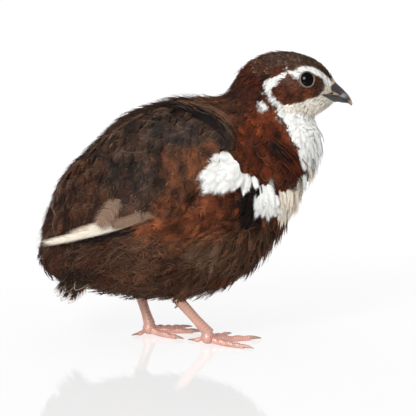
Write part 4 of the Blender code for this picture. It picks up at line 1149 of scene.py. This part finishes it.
def make_wing(name, side):
    sheet = wing_sheet(side)
    for row, values in LONG_FEATHERS.items():
        make_long_feathers(name + "_" + row, sheet, side, *values)
    make_coverts(name, sheet)
    for number, values in enumerate(PALE_VANES, 1):
        make_pale_vane(name + "_pale_vane_" + str(number), side, *values)


for name, side in SIDES.items():
    make_wing("wing_" + name, side)


# Tail

TAIL_ROOT, TAIL_TIP, TAIL_LENGTH = np.array([-47.5, 0, 38.5]), np.array([-62.3, 0, 17.8]), 25.4
TAIL_SPREAD = math.radians(26)
TAIL_ROWS, TAIL_COLUMNS = 40, 41
# Layers from below to above: how many feathers, where their roots start and how far their tips
# reach as parts of the tail's length, and how high they lie in mm.
TAIL_LAYERS = ((10, 0.15, 1.04, 0.0), (9, 0.0, 0.90, 1.0), (8, 0.0, 0.74, 1.8))


def tail_sheet():
    """The roof of the tail: p runs from root to tip and q from one side to the other."""
    long = np.linalg.norm(TAIL_TIP - TAIL_ROOT)
    way = (TAIL_TIP - TAIL_ROOT) / long
    over = np.array([way[2], 0, -way[0]])
    p, q = grid(np.linspace(0, 1, TAIL_ROWS), np.linspace(-1, 1, TAIL_COLUMNS))
    reach = long * p
    aside = 8.0 * q + np.sin(q * TAIL_SPREAD) * reach * 0.6
    high = 4.6 - 8.6 * np.abs(q) ** 2
    return Sheet((TAIL_ROOT + way * reach[..., None] + over * high[..., None]
                  - np.array([0, 1, 0]) * aside[..., None]) * MM, False)


def make_tail():
    sheet = tail_sheet()
    for layer, (count, start, long, rise) in enumerate(TAIL_LAYERS, 1):
        f = np.linspace(-0.96, 0.96, count)
        f = f[np.argsort(-np.abs(f))]
        length = TAIL_LENGTH * (long - start - 0.10 * np.abs(f)) * (1 + 0.04 * chance.normal(size=count))
        way = np.tile(TAIL_TIP - TAIL_ROOT, (count, 1))
        way[:, 1] = -np.sin(f * TAIL_SPREAD) * TAIL_LENGTH * 0.6
        ink = np.tile(INK["black_brown"], (count, 1)) * (0.9 + 0.25 * chance.normal(size=(count, 1)))
        rim = np.tile(INK["buff"], (count, 1))
        feathers("tail_feathers_" + str(layer), sheet, np.full(count, start * (TAIL_ROWS - 1)),
                 (f + 1) / 2 * (TAIL_COLUMNS - 1), lambda _: way, length, np.full(count, 8.0),
                 np.clip(ink, 0.002, 1), (rise - 0.6, rise + 0.7), 34, "tail_feathers",
                 ("tail",) if layer == 1 else (), loose=0.22, edge=rim, edging=0.3, lined=rim,
                 shaft=-0.2, depth=0.2, point=3.0, arch=0.05, fill=0.7)


make_tail()


# Eyes

LID_RADIUS, LID_THICKNESS = 3.34, 0.36
LID_BEADS = 34                      # small swellings round the rim of the lid
IRIS_START = 0.52                   # where the pupil ends, as an angle from the eye's middle
BALL_RINGS, BALL_AROUND = 60, 96
LID_AROUND, LID_ACROSS = 150, 22


def ring_round(out, turn):
    """Unit ways square to the way out, at the angles."""
    first = unit(np.cross(out, np.array([0.0, 0.0, 1.0])))
    second = np.cross(out, first)
    return first * np.cos(turn)[..., None] + second * np.sin(turn)[..., None]


def ball_points(centre, out, radius, rings, around):
    """A ball whose pole points outwards, as a table of points, and the angles from its pole."""
    a, b = grid(np.linspace(0.001, math.pi - 0.001, rings), circle(around))
    ways = out * np.cos(a)[..., None] + ring_round(out, b) * np.sin(a)[..., None]
    return centre + ways * radius * MM, a


def make_eye(name):
    spot, out = EYES[name]
    points, a = ball_points(spot - out * EYE_DEPTH * MM, out, EYE_RADIUS, BALL_RINGS, BALL_AROUND)
    tints = blend(INK["pupil"], INK["iris"], clamp((a - IRIS_START) / 0.05)[..., None])
    unwrap = np.stack(grid(np.linspace(0, 1, BALL_RINGS), np.arange(BALL_AROUND) / BALL_AROUND), -1)
    ball = new_piece("eyeball_" + name, points.reshape(-1, 3), grid_faces(BALL_RINGS, BALL_AROUND),
                     eye_material, tints.reshape(-1, 3), unwrap.reshape(-1, 2))
    on_bird(ball, "eye", "eye_" + name)

    b, c = grid(circle(LID_AROUND), circle(LID_ACROSS))
    radial = ring_round(out, b)
    thick = LID_THICKNESS + 0.05 * np.sin(b * LID_BEADS) * (np.cos(c) > -0.2) + 0.04 * np.sin(b * 13 + 1.5)
    r = LID_RADIUS + thick * np.cos(c) - 0.10 * np.cos(2 * b)
    high = thick * 0.9 * np.sin(c) - 0.12
    points = spot + (radial * r[..., None] + out * high[..., None]) * MM
    tints = blend(INK["lid"], INK["lid_rim"], clamp(0.1 - np.cos(c))[..., None])
    # Painted shade: the upper part of the lid ring is painted darker, where the brow shades it.
    brow = clamp(dot(unit(radial), np.array([0.2, 0.0, 1.0])) * 1.4)[..., None]
    tints = tints * (1 - 0.45 * brow) * (1 + 0.12 * np.sin(b * LID_BEADS + 1))[..., None]
    lid = new_piece("lid_" + name, points.reshape(-1, 3), grid_faces(LID_AROUND, LID_ACROSS), lid_material,
                    tints.reshape(-1, 3), np.stack([b / 6.3, c / 6.3], -1).reshape(-1, 2))
    on_bird(lid, "bill_horn")


# Bill

# Lines and places on the bill as a side view shows them, in mm.
MOUTH_LINE = ((57.6, 113.0), (62.4, 113.3), (65.6, 112.6), (68.4, 111.1), (70.2, 109.9), (71.4, 108.6))
NOSTRIL = (65.3, 115.4)             # the middle of the swollen cover over the nostril
NOSTRIL_SLIT = ((64.4, 114.9), (65.5, 114.2), (66.9, 113.8))
BILL_FOLD = ((58.0, 113.9), (62.0, 113.6), (65.6, 112.6))      # bare skin below the nostril
PAINTED_HIGHLIGHT_SPOT = (68.2, 111.9)           # where a painted highlight makes the horn a paler grey
BILL_ROWS, BILL_AROUND = 160, 160
BILL_START, BILL_END, BILL_HORN_START = 14.3, 19.97, 16.6      # counted in SECTIONS
MOUTH_DEPTH, SLIT_DEPTH, COVER_HEIGHT, RIDGE_HEIGHT = 0.38, 0.55, 0.34, 0.16


def make_bill():
    u = np.linspace(BILL_START, BILL_END, BILL_ROWS)
    turn = circle(BILL_AROUND)
    table = Sheet(body_points(*grid(u, turn)), True)
    x, z = side_view(table.points)
    along, up = as_seen(table.points)
    mouth = line_distance(x, z, MOUTH_LINE)
    slit = line_distance(x, z, NOSTRIL_SLIT)
    in_horn = inside(along, up, HORN)
    past_root = clamp((x - 64) / 2)
    cover = np.exp(-(((x - NOSTRIL[0]) / 1.5) ** 2 + ((z - NOSTRIL[1]) / 0.8) ** 2) ** 1.5)
    off = -MOUTH_DEPTH * hill(mouth / 0.22) * clamp((x - 60.5) / 1.5) * clamp((70.8 - x) / 1.5)
    off = off + COVER_HEIGHT * cover - SLIT_DEPTH * hill(slit / 0.26)
    off = off + RIDGE_HEIGHT * hill(np.minimum(turn, 2 * math.pi - turn) / 0.45)[None, :] * past_root
    off = off - 0.10 * (z < np.interp(x, *zip(*MOUTH_LINE)))
    off = off + 0.02 * np.sin(x * 9 + np.sin(z * 3)) * past_root
    behind = BILL_HORN_START - u
    sunk = clamp(0.5 - in_horn / 0.6) * clamp(behind / 0.3)[:, None]
    off = off - (0.15 + 0.6 * sunk) * clamp(behind / 0.6)[:, None]
    flat, faces = capped(table.points + table.normals * off[..., None] * MM)

    # Painted highlight: a pale grey spot on the side of the upper bill.
    wear_and_sheen = hill((along - PAINTED_HIGHLIGHT_SPOT[0]) / 1.6) * hill((up - PAINTED_HIGHLIGHT_SPOT[1]) / 1.1)
    tints = INK["horn"]
    for ink, share in (("painted_horn_highlight", wear_and_sheen),
                       ("horn_edge", clamp((along - 69.9) / 1.6) * clamp((110.4 - up) / 1.4)),
                       ("bill_fold", hill(line_distance(along, up, BILL_FOLD) / 0.45)),
                       ("bill_root", clamp(0.5 - in_horn / 0.5))):
        tints = blend(tints, INK[ink], share[..., None])
    # Painted shade: the mouth line and the nostril slit are painted darker.
    tints = tints * (1 - 0.85 * clamp(hill(mouth / 0.26) + hill(slit / 0.3)))[..., None]
    tints = np.concatenate([tints.reshape(-1, 3), tints[0, :1], tints[-1, :1]])
    unwrap = np.stack([flat[:, 0] * 8, flat[:, 2] * 8 - 0.5], -1)
    piece = new_piece("bill", flat, faces, bill_material, tints, unwrap)
    on_bird(piece, "bill_horn", "bill_upper", "bill_lower")


for name in SIDES:
    make_eye(name)
make_bill()


# Legs

THIGH = ((6.5, 1.5, 13.5), (3.0, 0.6, 6.0), (0.5, 0.1, 1.0))    # steps up from the hock
THIGH_RADII = (7.0, 4.6, 2.8)
SHANK_STEPS, SHANK_RADII = (-0.06, 0.3, 0.6, 0.85, 1.05), (2.45, 2.3, 2.2, 2.45, 2.8)
FOOT_HALF = (3.3, 3.5, 3.1)
FOOT_SINK = 0.35                    # how far the pads are pressed flat
ANKLE_HEIGHT = 5.2
TOE_SPREAD = 2.9
# Length, joints, radius at the root, length of the claw, sideways step at the root
TOES = {"inner": (14.0, 2, 1.60, 4.2, 1), "middle": (19.4, 3, 1.75, 4.6, 0),
        "outer": (16.4, 4, 1.60, 4.2, -1), "hind": (6.4, 1, 1.30, 3.4, 0.6 / 2.9)}
# Where the foot and the hock are, the way the middle toe points, and how each toe turns from it
LEGS = {
    "right": ((7.0, -11.5), (-7.5, -12.8, 20.6), 18, {"inner": 37, "middle": 0, "outer": -47, "hind": 138}),
    "left": ((-20.4, 8.6), (-26.0, 10.6, 18.8), 3, {"inner": -40, "middle": 0, "outer": 24, "hind": 212}),
}
SHANK_SCALE, TOE_SCALE = 1.7, 1.15  # the length of a scale
SCALE_GROOVE, SCALE_GAP = 0.12, 0.16    # how deep and how wide the groove between scales is
LEG_VOXEL = 0.22                    # the grid on which the toes and the shank are joined
TOE_AROUND, CLAW_STEPS = 32, 40


def tube(points, radii, around):
    """A table of points round a line, whose radii are in mm."""
    points = np.asarray(points, dtype=float)
    aims = unit(np.gradient(points, axis=0))
    up = np.where(np.abs(aims[:, 2:3]) > 0.8, np.array([[1.0, 0, 0]]), np.array([[0, 0, 1.0]]))
    side = unit(np.cross(up, aims))
    top = np.cross(aims, side)
    turn = circle(around)
    ring = side[:, None] * np.sin(turn)[None, :, None] + top[:, None] * np.cos(turn)[None, :, None]
    return points[:, None] + ring * np.asarray(radii)[:, None, None]


def toe_line(foot, turned, side, kind, turn):
    """The middle line of a toe, its radii and the way it points, in mm."""
    length, joints, radius, _, shift = TOES[kind]
    main, turn = math.radians(turned), math.radians(turn)
    across = np.array([-math.sin(main), math.cos(main), 0.0]) * -side
    aim = np.array([math.cos(main + turn), math.sin(main + turn), 0.0])
    root = np.array([*foot, 0.0]) + across * shift * TOE_SPREAD + aim * 0.6
    if kind == "hind":
        root = np.array([foot[0] - 1.0, foot[1], 0.0]) + across * 0.6
    f = np.linspace(0, 1, 60)
    radii = radius * (1 - 0.25 * f) + 0.16 * np.cos(2 * math.pi * joints * f) * (1 - 0.5 * f)
    lift = 3.0 * (1 - f) ** 1.5 if kind == "hind" else 0.9 * (1 - f) ** 3
    line = root + aim * (length * f)[:, None]
    line[:, 2] = radii - FOOT_SINK + lift
    end = np.sqrt(np.clip(1 - clamp((f - 0.93) / 0.07) ** 2, 0.02, 1))
    return line, radii * end, aim


def make_claw(kind, name, tip, radius, aim):
    f = np.linspace(0, 1, CLAW_STEPS)
    middle = tip + aim * (-0.9 + (TOES[kind][3] + 1.2) * f)[:, None]
    middle[:, 2] = tip[2] + 0.18 - (tip[2] - 0.45) * clamp((f - 0.2) / 0.8) ** 2.0
    table = tube(middle, radius * 0.62 * (1 - f) ** 0.7 + 0.1, TOE_AROUND)
    table[..., 2] = np.maximum(table[..., 2], 0.03)
    flat, faces = capped(table)
    f = np.concatenate([np.repeat(f, TOE_AROUND), [0, 1]])[:, None]
    piece = new_piece("claw_horn_" + kind + "_" + name, flat * MM, faces, claw_material,
                      blend(INK["claw"], INK["claw_tip"], f), f * np.array([1, 0]))
    on_bird(piece, "claw_horn", "claw_" + kind + "_" + name)


def fused(name, parts):
    """One closed mesh round the parts, as points, normals and four-sided faces."""
    bases = np.cumsum([0] + [len(points) for points, _ in parts])
    rough = new_piece(name, np.concatenate([points for points, _ in parts]) * MM,
                      np.concatenate([faces + base for (_, faces), base in zip(parts, bases)]), leg_material)
    remesh = rough.modifiers.new("skin_over", "REMESH")
    remesh.mode, remesh.voxel_size = "VOXEL", LEG_VOXEL * MM
    soften = rough.modifiers.new("soften", "SMOOTH")
    soften.factor, soften.iterations = 0.5, 6
    made = rough.evaluated_get(bpy.context.evaluated_depsgraph_get()).to_mesh()
    points, normals = np.zeros((2, len(made.vertices) * 3))
    made.vertices.foreach_get("co", points)
    made.vertices.foreach_get("normal", normals)
    corners = np.zeros(len(made.loops), dtype=np.int32)
    made.loops.foreach_get("vertex_index", corners)
    bpy.data.objects.remove(rough)
    return points.reshape(-1, 3) / MM, normals.reshape(-1, 3), corners.reshape(-1, 4)


def make_leg(name, side):
    foot, hock, turned, turns = LEGS[name]
    hock = np.array(hock)
    ankle = np.array([foot[0] - 1.2, foot[1], ANKLE_HEIGHT])
    steps = np.linspace(SHANK_STEPS[0], SHANK_STEPS[-1], 60)
    radii = np.interp(steps, SHANK_STEPS, SHANK_RADII)
    shank = hock + (ankle - hock) * steps[:, None]
    centre = np.array([foot[0] - 1.0, foot[1], FOOT_HALF[2] - FOOT_SINK])
    ball, _ = ball_points(0, np.array([1.0, 0, 0]), 1.0, 30, 40)
    parts = [capped(tube(shank, radii, 40)), capped(ball / MM * np.array(FOOT_HALF) + centre)]
    lines = [(shank, radii)]
    for kind, turn in turns.items():
        line, size, aim = toe_line(foot, turned, side, kind, turn)
        parts.append(capped(tube(line, size, TOE_AROUND)))
        lines.append((line, size))
        make_claw(kind, name, line[-1], size[40], aim)
    points, normals, faces = fused("leg_" + name, parts)

    # Each point takes its scales from the part that it is nearest to.
    nearest, along, which = np.full(len(points), 1e9), np.zeros(len(points)), np.zeros(len(points), dtype=int)
    for number, (line, size) in enumerate(lines):
        far = (np.linalg.norm(points[:, None] - line[None, ::3], axis=-1) - size[None, ::3]).min(axis=1)
        closer = far < nearest
        nearest = np.where(closer, far, nearest)
        along = np.where(closer, (points - line[0]) @ unit(line[-1] - line[0]), along)
        which = np.where(closer, number, which)
    pitch = np.where(which == 0, SHANK_SCALE, TOE_SCALE)
    phase = along / pitch
    groove = hill(np.minimum(phase % 1, 1 - phase % 1) * pitch / SCALE_GAP)
    shank_front = unit(np.array([hock[2] - ankle[2], 0, ankle[0] - hock[0]]))
    front = clamp((np.where(which == 0, normals @ shank_front, normals[:, 2]) + 0.25) / 0.4)
    off = -SCALE_GROOVE * groove * front + 0.035 * ripple(points * MM, 0.7, 5) * (1 - front)
    points = points + normals * off[:, None]
    points[:, 2] = np.maximum(points[:, 2], 0.0)
    tone = 1 + 0.08 * ripple(points * MM, 4.0, 9)
    tints = blend(INK["foot"], INK["shank"], clamp(points[:, 2] / 20)[:, None])
    # Painted shade: the grooves between the scales are painted darker.
    tints = tints * (tone * (1 - 0.35 * groove * front))[:, None]
    unwrap = np.stack([points[:, 0] / 60 + 0.5, points[:, 2] / 60 + points[:, 1] / 90 + 0.5], -1)
    nodes = [part + "_" + name for part in ("shank", "foot", *("toe_" + kind for kind in TOES))]
    on_bird(new_piece("leg_" + name, points * MM, faces, leg_material, tints, unwrap), "leg_skin", *nodes)
    make_thigh(name, side, hock)


def make_thigh(name, side, hock):
    """The bare thigh and the short feathers on it, from inside the body down to the hock."""
    line = hock + np.array(THIGH) * np.array([1, side, 1])
    line = np.concatenate([line[:1] + (line[:1] - line[1:2]) * 0.5, line])
    radii = np.array([[THIGH_RADII[0] * 1.1], *([radius] for radius in THIGH_RADII)])
    at = np.linspace(0, 3, 40)
    line, radii = smooth(line, at), smooth(radii, at)[:, 0]
    flat, faces = capped(tube(line, np.maximum(radii - 0.9, 0.5), 48))
    # Painted shade: the thigh's skin is painted at half the brightness of the markings, dark under its
    # feathers.
    skin = new_piece("thigh_skin_" + name, flat * MM, faces, skin_material, markings(flat * MM) * 0.5,
                     np.stack([flat[:, 0] / 200 + 0.5, flat[:, 2] / 200], -1))
    on_bird(skin, "body_feathers", "thigh_" + name)
    sheet = Sheet(tube(line, radii, 48) * MM, True)
    p, q = scatter(sheet, 1.5, lambda point, p: p > 2)
    long = (7.0 - 3.4 * p / 40) * (1 + 0.15 * chance.normal(size=len(p)))
    ink = shades(sheet.read(p, q)[0], 0.15, 70) * 0.9
    feathers("thigh_feathers_" + name, sheet, p, q, lambda point: unit(line[-1] - line[0]) + 0 * point, long,
             long * 0.42, ink, (-0.8, 0.5), 7, "body_feathers", loose=0.6, depth=0.5)


for name, side in SIDES.items():
    make_leg(name, side)


# Floor, light and camera

def add_to_scene(name, data, place_at=(0, 0, 0), turned=(0, 0, 0)):
    made = bpy.data.objects.new(name, data)
    made.location = place_at
    made.rotation_euler = turned
    bpy.context.scene.collection.objects.link(made)
    return made


def make_floor(half):
    mesh = bpy.data.meshes.new("floor")
    corners = [(-half, -half, 0), (half, -half, 0), (half, half, 0), (-half, half, 0)]
    mesh.from_pydata(corners, [], [(0, 1, 2, 3)])
    # Cast sheet, polished and lit from below, so that it is white all over and mirrors the feet faintly.
    acrylic = new_material("polished_lit_acrylic", 0.05, Base_Color=(0.16, 0.16, 0.16, 1), IOR=1.5,
                           Emission_Color=(1, 1, 1, 1), Emission_Strength=0.67)
    mesh.materials.append(acrylic)
    add_to_scene("floor", mesh)


def make_light(name, place_at, power, shape, size):
    """A light of that size in metres that faces the bird."""
    data = bpy.data.lights.new(name, "AREA")
    data.energy, data.shape, data.size = power, shape, size
    turned = (Vector(VIEW_AIM) - Vector(place_at)).to_track_quat("-Z", "Y").to_euler()
    return add_to_scene(name, data, place_at, turned)


def make_world():
    world = bpy.data.worlds.new("studio")
    world.use_nodes = True
    tree = world.node_tree
    sky = tree.nodes["Background"]
    sky.inputs["Color"].default_value = (1, 1, 1, 1)
    # The backdrop is dimmer where glossy things mirror it, so that the eye stays dark.
    ray = add_node(tree, "LightPath")
    level = add_node(tree, "MapRange", {"To Min": 1.0, "To Max": 0.55}, {"Value": (ray, "Is Glossy Ray")})
    tree.links.new(level.outputs["Result"], sky.inputs["Strength"])
    bpy.context.scene.world = world


def make_camera():
    data = bpy.data.cameras.new("camera")
    data.lens = data.sensor_width * VIEW_DISTANCE / VIEW_WIDTH
    data.clip_start = 0.01
    place_at = VIEW_AIM - AHEAD * VIEW_DISTANCE
    bpy.context.scene.camera = add_to_scene("camera", data, place_at, (math.pi / 2 - VIEW_RISE, 0, 0))


make_floor(3.0)
make_light("softbox", (-0.46, -0.92, 0.74), 10.0, "DISK", 0.42)
window = make_light("window", (-0.40, -0.86, 0.66), 30.0, "SQUARE", 0.62)
window.visible_diffuse = False      # it shows only as a mirrored spot in the eye and on the horn
make_world()
make_camera()
bpy.context.scene.view_settings.view_transform = "Standard"
